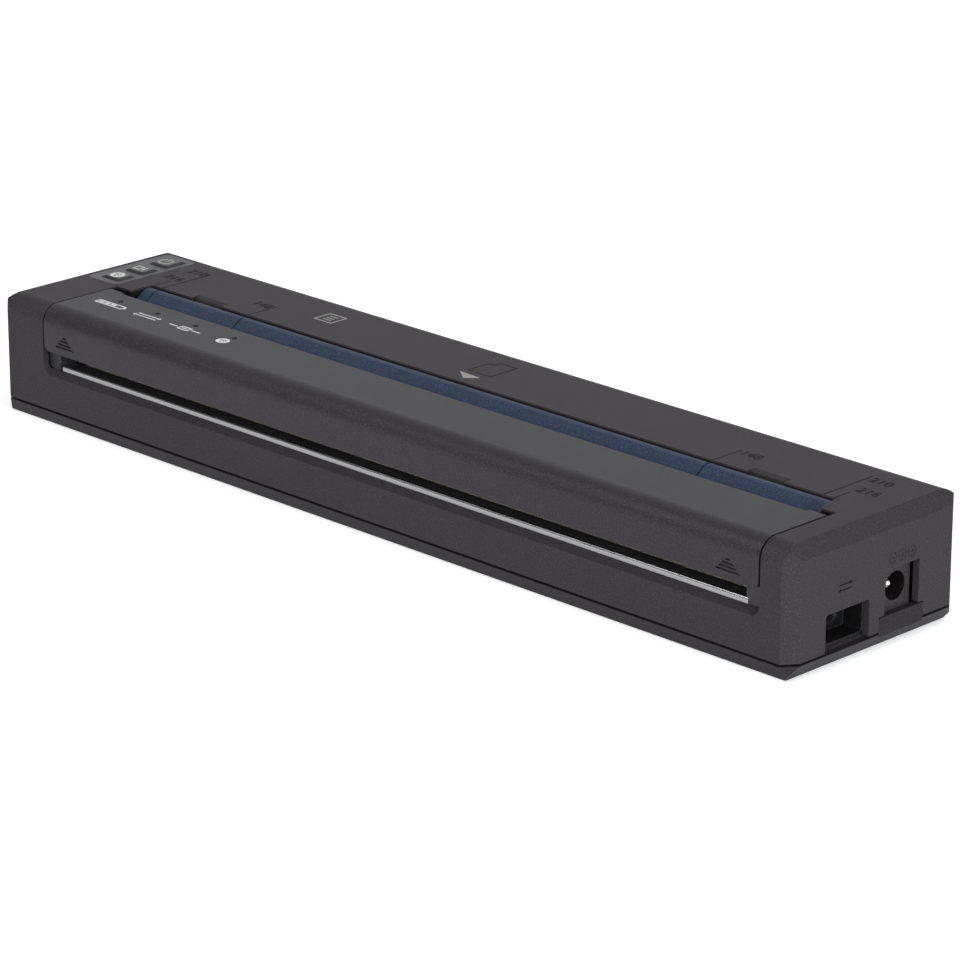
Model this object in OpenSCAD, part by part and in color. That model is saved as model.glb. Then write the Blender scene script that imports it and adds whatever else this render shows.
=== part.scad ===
// Bar-shaped portable thermal printer for A4 and letter sheets.
// X runs along the body, the paper comes out at -Y, Z is up, the feet stand on Z = 0.

/* [Paper] */
// Widest sheet that goes through, letter paper
paper_w = 216; // [196:1:260]
// Width of the second size mark on the rear top
a4_w = 210; // [150:1:210]
// Width of the small size mark on the rear top
a5_w = 148; // [105:1:150]

/* [Case] */
// Depth of the case, front to back
body_d = 55; // [53:0.5:70]
// Height of the case with its feet
body_h = 30; // [29:0.5:40]
// Case to the left of the cover, with the motor and the keys
left_bay = 18.7; // [18.2:0.1:26]
// Case to the right of the cover, with the sockets
right_bay = 9; // [8.5:0.1:16]
// Wall of the outer mouldings
wall = 1.8; // [1.4:0.1:2.2]
// Rounding of the front top edge
front_fillet = 4.4; // [3:0.1:5]
// Rounding of the rear top edge
rear_fillet = 4.7; // [3:0.1:6]
// Bevel round the left end
left_bevel = 5.1; // [2:0.1:5.6]
// Bevel round the right end, measured along X
right_bevel_x = 2.6; // [1.5:0.1:3.2]
// Bevel round the right end, measured on the side face
right_bevel_y = 3.4; // [2:0.1:4]

/* [Base] */
// Height of the lower moulding's outer wall
base_h = 3.8; // [3.4:0.1:4.2]
// Shadow gap between the lower and upper moulding
seam = 0.6; // [0.3:0.1:0.8]
// How far the base slopes in at its ends
base_slope_x = 2.6; // [0:0.1:4]
// How far the base slopes in at front and back
base_slope_y = 2; // [0:0.1:3]
// How far the feet stand below the base
foot_stand = 0.3; // [0.2:0.1:0.6]
// Diameter of a foot
foot_d = 8; // [5:0.5:10]

/* [Cover] */
// Front to back size of the release cover's top
cover_depth = 20.1; // [19.5:0.1:22]
// Height of the cover's front edge above the nip of the roller
cover_lift = 3.3; // [2.8:0.1:4]
// Cover skin
cover_t = 1.6; // [1.2:0.1:2]
// Parting gap round the cover
cover_gap = 0.6; // [0.3:0.05:0.7]
// Margin beside the sheet, left, holds the gears
gear_margin = 5.5; // [5.3:0.1:8]
// Margin beside the sheet, right, holds the bush
bush_margin = 5.8; // [5.4:0.1:8]
// Width of the two hinge ears
ear_w = 4.6; // [4:0.1:4.8]
// How far the ears reach behind the cover's rear edge
ear_reach = 1.9; // [1:0.1:2.2]

/* [Platen] */
// Diameter of the rubber roller
platen_d = 10; // [9:0.2:10.6]
// Roller axis behind the front face
platen_back = 13.5; // [13:0.1:14]
// Roller axis below the top
platen_drop = 9.2; // [8.8:0.1:9.8]
// Diameter of the roller's steel shaft
shaft_d = 4; // [3:0.1:5]

/* [Gears] */
// Gear module
gear_m = 0.5; // [0.45:0.05:0.5]
// Teeth on the roller's gear
platen_teeth = 20; // [18:1:20]
// Teeth on the small wheel of the double gear
small_teeth = 14; // [12:1:15]
// Teeth on the big wheel of the double gear
big_teeth = 30; // [24:1:30]
// Teeth on the motor's pinion
pinion_teeth = 10; // [9:1:12]
// Diameter of the stepper motor
motor_d = 15; // [12:0.5:15]

/* [Battery] */
// Width and height of the pack
pack_w = 19; // [18.6:0.1:19.4]
// Diameter of one cell
cell_d = 17; // [14:0.1:17.2]
// Cells in the pack
cell_count = 3; // [2:1:3]

/* [Keys] */
// Travel of a key
key_travel = 0.35; // [0.2:0.05:0.5]
// Width of the keys
key_w = 6.3; // [5:0.1:7]
// How far the keys stand above the top
key_rise = 0.35; // [0.2:0.05:0.8]

/* [Sockets] */
// Width of the window round the data socket
usb_win_w = 13.9; // [12:0.1:15]
// Height of the window round the data socket
usb_win_h = 8.4; // [7:0.1:9]
// Bore of the power socket
dc_bore = 6.4; // [5.5:0.1:6.8]
// Centre pin of the power socket
dc_pin_d = 2; // [1.3:0.1:2.5]

/* [Fits] */
// Radial play of a turning fit
run_play = 0.05; // [0.02:0.01:0.1]
// Radial play of a pressed pin in the model
press_play = 0.01; // [0.01:0.01:0.03]
// Gap between fixed neighbours
snug = 0.1; // [0.05:0.05:0.2]
// Gap between neighbours that move
loose = 0.3; // [0.2:0.05:0.4]

/* [Hidden] */
$fn = 64;

// Lengths along X
cover_w = gear_margin + paper_w + bush_margin;
body_l = left_bay + cover_w + right_bay;
left_x = -body_l / 2;
right_x = body_l / 2;
cover_x0 = left_x + left_bay;
cover_x1 = right_x - right_bay;
paper_cx = cover_x0 + gear_margin + paper_w / 2;
guide_play = 0.5;
guide_x0 = paper_cx - paper_w / 2 - guide_play;
guide_x1 = paper_cx + paper_w / 2 + guide_play;

// Depths along Y and heights along Z
front_y = -body_d / 2;
rear_y = body_d / 2;
top_z = body_h;
seam_z = base_h + seam;
floor_z = foot_stand + wall;
rim = wall + 0.15;
rim_t = 1.1;
rim_h = 1.6;
rim_in_y = front_y + rim + rim_t + 0.15;
cover_rear_y = front_y + cover_depth;
ear_rear_y = cover_rear_y + ear_reach;
rear_edge_y = cover_rear_y + 10.15;
notch_y = ear_rear_y + 1.6;

// Roller, nip and hinge
platen_y = front_y + platen_back;
platen_z = top_z - platen_drop;
platen_r = platen_d / 2;
nip_z = platen_z - platen_r;
cover_z = nip_z + cover_lift;
hinge_y = cover_rear_y - 1.4;
hinge_z = top_z - 3.4;
pin_r = 1.25;
lip_z = nip_z - 2.85;
opening_round = 3;
cover_round = 1.7;
ear_round = 1.3;

// Lanes along X at the left end of the cover
case_skin = 1.1;
plate_t = 0.8;
plate_x0 = cover_x0 + case_skin + snug;
gear_x0 = plate_x0 + plate_t + 0.5;
gear_w = 2;
bay_wall_x = cover_x0 - cover_gap - case_skin;
big_x1 = bay_wall_x - 0.25;
big_w = 1.4;
gplate_x1 = big_x1 - big_w - 0.2;
gplate_x0 = gplate_x1 - plate_t;
motor_len = 8.7;

// Lane at the right end of the cover
rplate_x1 = cover_x1 - case_skin - snug;
rplate_x0 = rplate_x1 - plate_t;

// Gear centres: the double gear lies behind and below the roller, the motor in front of it
double_a = -45;
double_dist = gear_m * (platen_teeth + small_teeth) / 2;
double_y = platen_y + double_dist * cos(double_a);
double_z = platen_z + double_dist * sin(double_a);
motor_a = 190.3;
motor_dist = gear_m * (big_teeth + pinion_teeth) / 2;
motor_y = double_y + motor_dist * cos(motor_a);
motor_z = double_z + motor_dist * sin(motor_a);
post_r = 1.2;
motor_shaft_r = 0.75;

// Blue paper guide
guide_t = 1.4;
guide_gap = 2.2;
guide_r = platen_r + guide_gap;
guide_top_z = top_z - 0.35;
guide_back_y = rear_edge_y - 0.5;
guide_flat = 1.5;
guide_knee_a = 31;

// Print head
head_gap = 0.3;
ceramic_t = 0.9;
ceramic_top = nip_z - head_gap;
sink_t = 3.2;
sink_top = ceramic_top - ceramic_t;
sink_z0 = sink_top - sink_t;
sink_y0 = platen_y - 6;
sink_y1 = platen_y + 4.4;
rod_r = 1;
rod_y = platen_y + 6.2;
rod_z = sink_top - 2;
head_x0 = paper_cx - paper_w / 2 + 0.1;
head_x1 = paper_cx + paper_w / 2 - 0.1;
lug_half = paper_w / 2 - 12;
chassis_t = 1;
chassis_z1 = 6;
chassis_y0 = front_y + wall + 1.3;
chassis_y1 = rear_edge_y - 2.05;

// Exit slot
bar_y0 = front_y + wall + 0.4;
bar_t = 1.15;
bar_top = ceramic_top + 0.13;
block_back = 2.1;
lip_y1 = bar_y0 - snug;
lip_slope = 0.55;
function lip_at(y) = lip_z + 0.1 + (y - front_y) * lip_slope;
slot_x0 = guide_x0 - 1.6;
slot_x1 = guide_x1 + 0.55;
// spring tongues of the exit guide, in two rows from the joint in its tool
tongue_w = 5.2;
tongue_pitch = 35.1;
tongue_y = bar_y0 + bar_t + 1.65;
tongue_slit = 0.3;
guide_seam_x = paper_cx - 2.85;

// Battery bay, measured from the rear face
pack_y1 = rear_y - 5.8;
pack_y0 = pack_y1 - pack_w;
pack_z0 = floor_z + 2.5;
pack_x1 = right_x - 46.8;
bay_wall_t = 1.2;

// Door in the left end
door_gap = 0.3;
door_y0 = pack_y0 - 0.1;
door_y1 = pack_y1 + 0.1;
door_z0 = seam_z + 0.3;
door_z1 = pack_z0 + pack_w + 0.5;
door_axis_x = left_x + 1.6;
door_axis_z = door_z0 + 1.4;
door_pin_r = 0.8;
door_knuckle_r = 1.35;
door_rib = 0.9;
// the pack starts behind the door's ribs and knuckle
pack_x0 = max(left_x + wall + door_rib, door_axis_x + door_knuckle_r) + 0.25;

// Keys: panel and key centres measured from the rear face
panel_x0 = left_x + 5.6;
panel_x1 = cover_x0 - 1.8;
panel_y0 = rear_y - 30.7;
panel_y1 = rear_y - 4.1;
panel_z = top_z - 0.15;
key_x = (panel_x0 + panel_x1) / 2 + 0.8;
key_rows = [[rear_y - 25.9, 5.2], [rear_y - 18.3, 5.2], [rear_y - 9.8, 6.6]];
key_board_z = top_z - 5.4;
board_t = 0.8;
switch_h = 1.55;

// Lamps on the cover
lamp_xs = [for (i = [0 : 3]) cover_x0 + 10.1 + i * 13.55];
lamp_y = front_y + 15.6;
lamp_board_z = platen_z + platen_r + 1;

// Sockets on the right end, measured from the axis of the case and the base
usb_y = -9.35;
usb_z = 8.6;
usb_face_x = right_x - 7;
dc_y = 8;
dc_z = 12.5;
dc_face_x = right_x - wall - 0.15;
port_board_z = 5.6;
usb_half_w = 4.47;
usb_half_h = 1.63;
usb_round = 1.55;
usb_len = 7.3;
tongue_y0 = 0.95;
tongue_y1 = 15.1;
tongue_z = 7.4;

// Paper flag in the middle of the sheet
flag_y = platen_y + 9.4;
flag_z = platen_z - 7.3;
flag_pin_r = 0.6;
main_board_y = platen_y + 10.8;

// Screws through the base into the case, as x and y
boss_r = 2.3;
screw_r = 1;
screw_head_r = 1.9;
screw_head_h = 1.3;
screw_head_z = foot_stand + 0.8;
frame_screw_r = 0.8;
frame_head_r = 1.6;
motor_screw_r = 0.6;
motor_screw_at = 6;
case_screw_at = [[left_x + 8, double_y + 2.5], [right_x - 5.7, front_y + 6.5],
    [right_x - 5.7, rear_y - 6.5], [right_x - 32, rear_y - 7.5]];
foot_at = [for (x = [left_x + 16, right_x - 16], y = [front_y + 10, rear_y - 10]) [x, y]];

// ---- shared shapes ----
module box(x0, x1, y0, y1, z0, z1) {
    translate([x0, y0, z0]) cube([x1 - x0, y1 - y0, z1 - z0]);
}

// A section drawn in Y and Z, carried along X
module along_x(x0, x1) {
    translate([x0, 0, 0]) rotate([90, 0, 90]) linear_extrude(x1 - x0) children();
}

// A section drawn in X and Z, carried along Y
module along_y(y0, y1) {
    translate([0, y1, 0]) rotate([90, 0, 0]) linear_extrude(y1 - y0) children();
}

module rod_x(x0, x1, y, z, r) {
    translate([x0, y, z]) rotate([0, 90, 0]) cylinder(h = x1 - x0, r = r);
}

module rod_y(y0, y1, x, z, r) {
    translate([x, y0, z]) rotate([-90, 0, 0]) cylinder(h = y1 - y0, r = r);
}

module round_rect(x0, x1, y0, y1, r) {
    translate([x0 + r, y0]) square([x1 - x0 - 2 * r, y1 - y0]);
    translate([x0, y0 + r]) square([x1 - x0, y1 - y0 - 2 * r]);
    for (x = [x0 + r, x1 - r], y = [y0 + r, y1 - r]) translate([x, y]) circle(r);
}

function arc_points(cy, cz, r, a0, a1, steps) =
    [for (i = [0 : steps]) let (a = a0 + (a1 - a0) * i / steps) [cy + r * cos(a), cz + r * sin(a)]];

// ---- outer form of the case, inset by i ----
module case_section(i, z0) {
    translate([front_y + i, z0]) square([front_fillet - i, top_z - front_fillet - z0]);
    translate([front_y + front_fillet, z0])
        square([body_d - front_fillet - rear_fillet, top_z - i - z0]);
    translate([rear_y - rear_fillet, z0]) square([rear_fillet - i, top_z - rear_fillet - z0]);
    translate([front_y + front_fillet, top_z - front_fillet]) circle(front_fillet - i);
    translate([rear_y - rear_fillet, top_z - rear_fillet]) circle(rear_fillet - i);
}

module case_plan(i) {
    k = 0.41 * i;
    polygon([[left_x + i, front_y + left_bevel + k], [left_x + left_bevel + k, front_y + i],
        [right_x - right_bevel_x - k, front_y + i], [right_x - i, front_y + right_bevel_y + k],
        [right_x - i, rear_y - right_bevel_y - k], [right_x - right_bevel_x - k, rear_y - i],
        [left_x + left_bevel + k, rear_y - i], [left_x + i, rear_y - left_bevel - k]]);
}

module case_elevation(i, z0) {
    k = 0.41 * i;
    polygon([[left_x + i, z0], [right_x - i, z0], [right_x - i, top_z - right_bevel_y - k],
        [right_x - right_bevel_x - k, top_z - i], [left_x + left_bevel + k, top_z - i],
        [left_x + i, top_z - left_bevel - k]]);
}

module case_form(i, z0) {
    intersection() {
        along_x(left_x, right_x) case_section(i, z0);
        linear_extrude(top_z) case_plan(i);
        along_y(front_y, rear_y) case_elevation(i, z0);
    }
}

// ---- cuts in the case ----
module cover_opening() {
    // seen from the front: open from the lip of the exit slot to above the top
    along_y(front_y - 1, front_y + front_fillet + 1)
        round_rect(cover_x0 - cover_gap, cover_x1 + cover_gap, lip_z, top_z + 8,
            opening_round);
    // behind the front wall
    box(cover_x0 - cover_gap, cover_x1 + cover_gap, front_y + wall, notch_y, lip_z, top_z + 1);
    // paper inlet behind the cover, flared beside the right ear
    linear_extrude(top_z + 1)
        polygon([[guide_x0 - loose, notch_y - 1], [guide_x0 - loose, rear_edge_y],
            [guide_x1 + loose, rear_edge_y], [guide_x1 + loose, rear_edge_y - 3.8],
            [guide_x1 + 1.8, notch_y], [guide_x1 + 1.8, notch_y - 1]]);
}

module size_marks() {
    groove_d = 0.25;
    groove_w = 0.45;
    z0 = top_z - groove_d;
    for (s = [-1, 1]) {
        for (m = [[a4_w / 2, 16], [a5_w / 2, 9.3]])
            translate([paper_cx + s * m[0] - groove_w / 2, rear_edge_y - 1, z0])
                cube([groove_w, m[1] + 1, 1]);
        translate([paper_cx + s * paper_w / 2 - groove_w / 2, rear_edge_y - 1, z0])
            cube([groove_w, 6, 1]);
    }
}

module page_mark() {
    // outline of a sheet with a folded corner
    w = 7.6;
    l = 9;
    line = 0.45;
    fold = 2.4;
    translate([paper_cx - 4.3 - w / 2 + 0.6, rear_edge_y + 6.8, top_z - 0.25]) linear_extrude(1) {
        difference() {
            polygon([[0, 0], [w, 0], [w, l], [fold, l], [0, l - fold]]);
            translate([line, line]) polygon([[0, 0], [w - 2 * line, 0],
                [w - 2 * line, l - 2 * line], [fold, l - 2 * line], [0, l - fold - line]]);
        }
        polygon([[fold, l], [fold, l - fold], [0, l - fold], [0, l - fold + line],
            [fold - line, l - fold + line], [fold - line, l]]);
    }
}

module nail_scoops() {
    // ramps that run down to the inlet edge
    for (s = [-1, 1]) translate([paper_cx + s * 89 - 5.3, 0, 0])
        along_x(0, 10.6) polygon([[rear_edge_y - 1, top_z - 1.15], [rear_edge_y + 2.5, top_z],
            [rear_edge_y + 2.5, top_z + 1], [rear_edge_y - 1, top_z + 1]]);
}

module socket_cuts() {
    // window round the data socket
    translate([right_x - wall - 1, 0, 0]) rotate([90, 0, 90]) linear_extrude(wall + 2)
        round_rect(usb_y - usb_win_w / 2, usb_y + usb_win_w / 2, seam_z - 2,
            seam_z + usb_win_h, 0.8);
    // recess of the power socket and the cut-out for the base's tongue below it
    box(right_x - wall - 1, right_x + 1, dc_y - 5.5, dc_y + 5.6, tongue_z, dc_z + 5.1);
    box(right_x - wall - 1, right_x + 1, tongue_y0 - 0.15, tongue_y1 + 0.15, seam_z - 2,
        tongue_z + 0.35);
}

module socket_marks() {
    // three linked rings that show the polarity of the plug
    ring = 1.3;
    line = 0.3;
    depth = 0.2;
    step = 3.1;
    y0 = dc_y - 3.3;
    z = dc_z + 7.5;
    sign = 0.6;
    for (k = [0 : 2]) translate([right_x - depth, y0 + k * step, z])
        rotate([0, 90, 0]) difference() {
            cylinder(h = 1, r = ring);
            translate([0, 0, -1]) cylinder(h = 3, r = ring - line);
        }
    for (k = [0, 1]) box(right_x - depth, right_x + 1, y0 + ring - 0.05 + k * step,
        y0 + step - ring + 0.05 + k * step, z - line / 2, z + line / 2);
    translate([right_x - depth, y0 + step, z]) rotate([0, 90, 0]) cylinder(h = 1, r = 0.45);
    for (k = [0, 2]) box(right_x - depth, right_x + 1, y0 + k * step - sign,
        y0 + k * step + sign, z - line / 2, z + line / 2);
    box(right_x - depth, right_x + 1, y0 + 2 * step - line / 2, y0 + 2 * step + line / 2,
        z - sign, z + sign);
}

module door_opening() {
    box(left_x - 1, left_x + wall + 0.1, door_y0 - door_gap, door_y1 + door_gap, seam_z - 1,
        door_z1 + door_gap);
}

// Upper housing: ends, rear top, and the front face below the exit slot
module main_case() {
    boss_top = top_z - wall + 0.1;
    color([0.16, 0.15, 0.155]) difference() {
        union() {
            difference() {
                case_form(0, seam_z);
                case_form(wall, seam_z - 1);
            }
            // walls beside the cover, which carry the hinge pins
            intersection() {
                case_form(0.5, seam_z);
                union() {
                    box(bay_wall_x, bay_wall_x + case_skin, front_y + 1, notch_y + 1.2,
                        cover_z, top_z);
                    box(cover_x1 + cover_gap, cover_x1 + cover_gap + case_skin, front_y + 1,
                        notch_y + 1.2, cover_z, top_z);
                    // hanging edge behind the paper guide
                    box(guide_x0 - 2, guide_x1 + 2, rear_edge_y, rear_edge_y + 1.2,
                        pack_z0 + pack_w + 0.5, top_z);
                }
            }
            // ledge that carries the lip back to the bar
            box(cover_x0 - cover_gap - 1, cover_x1 + cover_gap + 1, front_y + wall - 0.5, lip_y1,
                lip_z - 1.5, lip_z + 2);
            // bosses for the screws
            for (p = case_screw_at) translate([p[0], p[1], seam_z])
                cylinder(h = boss_top - seam_z, r = boss_r);
            // cheeks that hold the door's pins
            for (y = [[door_y0 - door_gap - 1.2, door_y0 - door_gap],
                [door_y1 + door_gap, door_y1 + door_gap + 1.2]])
                intersection() {
                    case_form(0.5, seam_z);
                    box(left_x, left_x + 4, y[0], y[1], seam_z, door_axis_z + 3);
                }
        }
        difference() {
            cover_opening();
            // the paper inlet cuts the top only
            box(guide_x0 - 3, guide_x1 + 3, notch_y, rear_edge_y + 1, -1, top_z - wall - 6);
            // the lip of the exit slot slopes up to the bar
            along_x(left_x, right_x) polygon([[front_y - 2, lip_z - 2], [lip_y1 + 0.3, lip_z - 2],
                [lip_y1 + 0.3, lip_at(lip_y1 + 0.3)], [front_y - 2, lip_at(front_y - 2)]]);
        }
        size_marks();
        page_mark();
        nail_scoops();
        socket_cuts();
        socket_marks();
        door_opening();
        // window of the key panel
        translate([0, 0, top_z - 4]) linear_extrude(8)
            round_rect(panel_x0 - 0.15, panel_x1 + 0.15, panel_y0 - 0.15, panel_y1 + 0.15, 2.1);
        // hinge pin bores
        rod_x(bay_wall_x - 1, bay_wall_x + case_skin + 1, hinge_y, hinge_z, pin_r + press_play);
        rod_x(cover_x1 + cover_gap - 1, cover_x1 + cover_gap + case_skin + 1, hinge_y, hinge_z,
            pin_r + press_play);
        // door pin bores
        rod_y(door_y0 - 5, door_y1 + 5, door_axis_x, door_axis_z, door_pin_r + run_play);
        // screw bores
        for (p = case_screw_at) translate([p[0], p[1], seam_z - 1])
            cylinder(h = 9, r = screw_r + press_play);
    }
}

// Lower housing with sloping sides, battery bay, bosses and the tongue under the power socket
module base_form(i) {
    intersection() {
        along_x(left_x, right_x) polygon([[front_y + base_slope_y + i, foot_stand],
            [rear_y - base_slope_y - i, foot_stand], [rear_y - i, base_h], [front_y + i, base_h]]);
        along_y(front_y, rear_y) polygon([[left_x + base_slope_x + i, foot_stand],
            [right_x - base_slope_x - i, foot_stand], [right_x - i, base_h],
            [left_x + i, base_h]]);
        linear_extrude(base_h) case_plan(i);
    }
}

module base_cover() {
    color([0.17, 0.16, 0.165]) difference() {
        union() {
            base_form(0);
            // rim inside the upper housing
            difference() {
                linear_extrude(seam_z + rim_h) case_plan(rim);
                translate([0, 0, -1]) linear_extrude(base_h + 1) square([900, 900], center = true);
            }
            // tongue under the power socket
            box(right_x - wall, right_x, tongue_y0, tongue_y1, base_h - 0.5, tongue_z);
        }
        difference() {
            translate([0, 0, floor_z]) linear_extrude(20) case_plan(rim + rim_t);
            box(right_x - wall - 0.2, right_x, tongue_y0, tongue_y1, base_h - 0.5, tongue_z);
            // battery bay
            box(left_x + 5.4, pack_x1, pack_y0 - 0.3 - bay_wall_t, pack_y0 - 0.3, floor_z,
                pack_z0 + pack_w - 3);
            box(left_x + 5.4, pack_x1, pack_y1 + 0.3, pack_y1 + 0.3 + bay_wall_t, floor_z,
                pack_z0 + pack_w - 3);
            for (x = [left_x + 20 : 30 : pack_x1 - 6])
                box(x, x + 1.2, pack_y0 - 0.3, pack_y1 + 0.3, floor_z, pack_z0);
            // posts under the chassis
            for (p = chassis_post_at) translate([p[0], p[1], floor_z])
                cylinder(h = chassis_z1 - chassis_t - floor_z, r = 2.3);
            // posts of the case screws
            for (p = case_screw_at) translate([p[0], p[1], floor_z])
                cylinder(h = seam_z - floor_z, r = boss_r + 0.6);
            // ledges under the socket board
            for (y = [usb_y - 5.9, 15])
                box(usb_face_x - 6, usb_face_x - 1.2, y, y + 1.4, floor_z, port_board_z);
        }
        // recesses for the feet
        for (p = foot_at) translate([p[0], p[1], foot_stand - 1])
            cylinder(h = 1.6, r = foot_d / 2 + 0.1);
        // case screws: shank and head
        for (p = case_screw_at) translate([p[0], p[1], -1]) {
            cylinder(h = 12, r = screw_r + 0.1);
            cylinder(h = screw_head_z + screw_head_h + 1, r = screw_head_r + 0.1);
        }
        // frame screws, driven from above
        for (p = chassis_post_at) translate([p[0], p[1], floor_z - 0.5])
            cylinder(h = 9, r = frame_screw_r + press_play);
        // free space for the door's lower edge and the windows in the right end
        box(left_x - 1, left_x + 5.2, door_y0 - 1.7, door_y1 + 1.7, base_h, 20);
        box(right_x - 6, right_x + 1, usb_y - usb_win_w / 2 - 1, usb_y + usb_win_w / 2 + 1,
            seam_z, 20);
    }
}

chassis_post_at = [for (x = [paper_cx - paper_w / 2 + 8, paper_cx, paper_cx + paper_w / 2 - 8])
    [x, chassis_y0 + 3.3]];

// ---- release cover ----
module stripes_triangle(x) {
    // four grooves that shorten towards a point
    z0 = cover_z + 1.75;
    tall = 3.3;
    wide = 6.9;
    pitch = 0.82;
    bar = 0.5;
    for (k = [0 : 3]) {
        low = (1 - k * pitch / tall) * wide / 2;
        high = (1 - (k * pitch + bar) / tall) * wide / 2;
        along_y(front_y - 1, front_y + 0.45) polygon([[x - low, z0 + k * pitch],
            [x + low, z0 + k * pitch], [x + high, z0 + k * pitch + bar],
            [x - high, z0 + k * pitch + bar]]);
    }
}

module cover_plan() {
    r = 0.3;
    polygon([[cover_x0, front_y - 1], [cover_x1, front_y - 1], [cover_x1, ear_rear_y],
        [cover_x1 - ear_w, ear_rear_y], [cover_x1 - ear_w - r, cover_rear_y],
        [cover_x0 + ear_w + r, cover_rear_y], [cover_x0 + ear_w, ear_rear_y],
        [cover_x0, ear_rear_y]]);
}

// Ends of the cover: down to the roller's shaft and back to the hinge
module cheek_section() {
    difference() {
        intersection() {
            case_section(0.1, cover_z - 6);
            union() {
                polygon([[front_y, cover_z + 0.2], [platen_y - 6, cover_z + 0.2],
                    [platen_y - 4, platen_z - 3], [platen_y + 3, platen_z - 3.2],
                    [hinge_y + 1.6, hinge_z - 1.9], [ear_rear_y, top_z - 2.6],
                    [ear_rear_y, top_z], [front_y, top_z]]);
                translate([platen_y, platen_z]) circle(4.1);
                translate([hinge_y, hinge_z]) circle(2.3);
            }
        }
        // rounded rear corner, so that the ear turns clear of the case
        translate([ear_rear_y - ear_round, top_z - ear_round]) difference() {
            square(2);
            circle(ear_round);
        }
    }
}

module release_cover() {
    color([0.2, 0.195, 0.205]) difference() {
        union() {
            intersection() {
                difference() {
                    along_x(cover_x0, cover_x1) case_section(0, cover_z);
                    along_x(cover_x0 + case_skin, cover_x1 - case_skin)
                        case_section(cover_t, cover_z - 1);
                }
                linear_extrude(top_z + 1) cover_plan();
                union() {
                    along_y(front_y - 1, front_y + 6)
                        round_rect(cover_x0, cover_x1, cover_z, top_z + 8, cover_round);
                    box(cover_x0, cover_x1, front_y + 5.9, ear_rear_y, top_z - cover_t,
                        top_z + 1);
                }
                along_x(cover_x0, cover_x1) difference() {
                    square([body_d * 2, top_z * 3], center = true);
                    translate([ear_rear_y - ear_round, top_z - ear_round]) difference() {
                        square(2);
                        circle(ear_round);
                    }
                }
            }
            for (x = [cover_x0, cover_x1 - case_skin]) intersection() {
                along_x(x, x + case_skin) cheek_section();
                union() {
                    along_y(front_y - 1, front_y + 6)
                        round_rect(cover_x0, cover_x1, cover_z, top_z + 8, cover_round);
                    box(cover_x0, cover_x1, front_y + 5.9, 0, 0, top_z + 1);
                }
            }
            // pegs for the lamp board
            for (x = [lamp_xs[0] + 6.7, lamp_xs[3] - 6.7])
                translate([x, lamp_y, lamp_board_z + 0.6])
                    cylinder(h = top_z - cover_t - lamp_board_z - 0.5, r = 1.2);
        }
        // lamp holes
        for (x = lamp_xs) translate([x, lamp_y, top_z - 3]) cylinder(h = 5, r = 0.75);
        stripes_triangle(cover_x0 + 7.5);
        stripes_triangle(cover_x1 - 8.3);
        // running bores for the hinge pins, and relief for the shaft's ends
        rod_x(cover_x0 - 1, cover_x1 + 1, hinge_y, hinge_z, pin_r + run_play);
        rod_x(cover_x0 - 1, cover_x1 + 1, platen_y, platen_z, shaft_d / 2 + 0.4);
    }
}

// Inner frame of the cover with two end plates, a front beam and a rear rail
module cover_frame() {
    beam_z = top_z - cover_t - snug;
    color([0.09, 0.09, 0.1]) difference() {
        union() {
            for (x = [plate_x0, rplate_x0])
                along_x(x, x + plate_t) intersection() {
                    cheek_section();
                    case_section(cover_t + snug, cover_z - 6);
                }
            // front beam behind the cover's face
            along_x(plate_x0, rplate_x1) intersection() {
                case_section(cover_t + snug, cover_z + 0.4);
                translate([front_y, cover_z + 2]) square([2.9, top_z]);
            }
            // front part of the top, clear of the roller
            box(plate_x0, rplate_x1, front_y + front_fillet, platen_y - platen_r - 0.5,
                beam_z - 1, beam_z);
            // rear rail above the inlet
            box(plate_x0, rplate_x1, hinge_y - 0.8, hinge_y + 0.8, platen_z + 5.2, beam_z);
            // ribs that guide the sheet over the rail
            for (k = [-6 : 6]) box(paper_cx + k * 16 - 0.4, paper_cx + k * 16 + 0.4,
                hinge_y - 2.2, hinge_y - 0.7, platen_z + 4.9, beam_z);
        }
        rod_x(cover_x0, cover_x0 + 6, hinge_y, hinge_z, pin_r + run_play);
        rod_x(cover_x1 - 6, cover_x1, hinge_y, hinge_z, pin_r + run_play);
        rod_x(cover_x0, cover_x1, platen_y, platen_z, bush_r + press_play);
        // room for the lamp board
        box(lamp_xs[0] - 3.4, lamp_xs[3] + 3.4, lamp_y - 3.2, lamp_y + 3.2, lamp_board_z - 0.3,
            top_z);
    }
}

module hinge_pins() {
    color([0.75, 0.75, 0.77]) {
        rod_x(bay_wall_x - 0.2, plate_x0 + plate_t + 0.3, hinge_y, hinge_z, pin_r);
        rod_x(rplate_x0 - 0.3, cover_x1 + cover_gap + case_skin + 0.2, hinge_y, hinge_z, pin_r);
    }
}

// ---- platen ----
bush_r = 3;

module platen_shaft() {
    color([0.8, 0.8, 0.82]) rod_x(plate_x0, rplate_x1, platen_y, platen_z, shaft_d / 2);
}

module platen_rubber() {
    color([0.13, 0.13, 0.13]) difference() {
        rod_x(paper_cx - paper_w / 2 - 0.2, paper_cx + paper_w / 2 + 0.2, platen_y, platen_z,
            platen_r);
        rod_x(left_x, right_x, platen_y, platen_z, shaft_d / 2 + press_play);
    }
}

module platen_bushes() {
    color([0.85, 0.83, 0.78]) difference() {
        union() {
            for (x = [plate_x0, rplate_x0]) rod_x(x, x + plate_t, platen_y, platen_z, bush_r);
            rod_x(plate_x0 + plate_t, plate_x0 + plate_t + 0.35, platen_y, platen_z, 3.6);
            rod_x(rplate_x0 - 0.35, rplate_x0, platen_y, platen_z, 3.6);
        }
        rod_x(left_x, right_x, platen_y, platen_z, shaft_d / 2 + run_play);
    }
}

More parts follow.
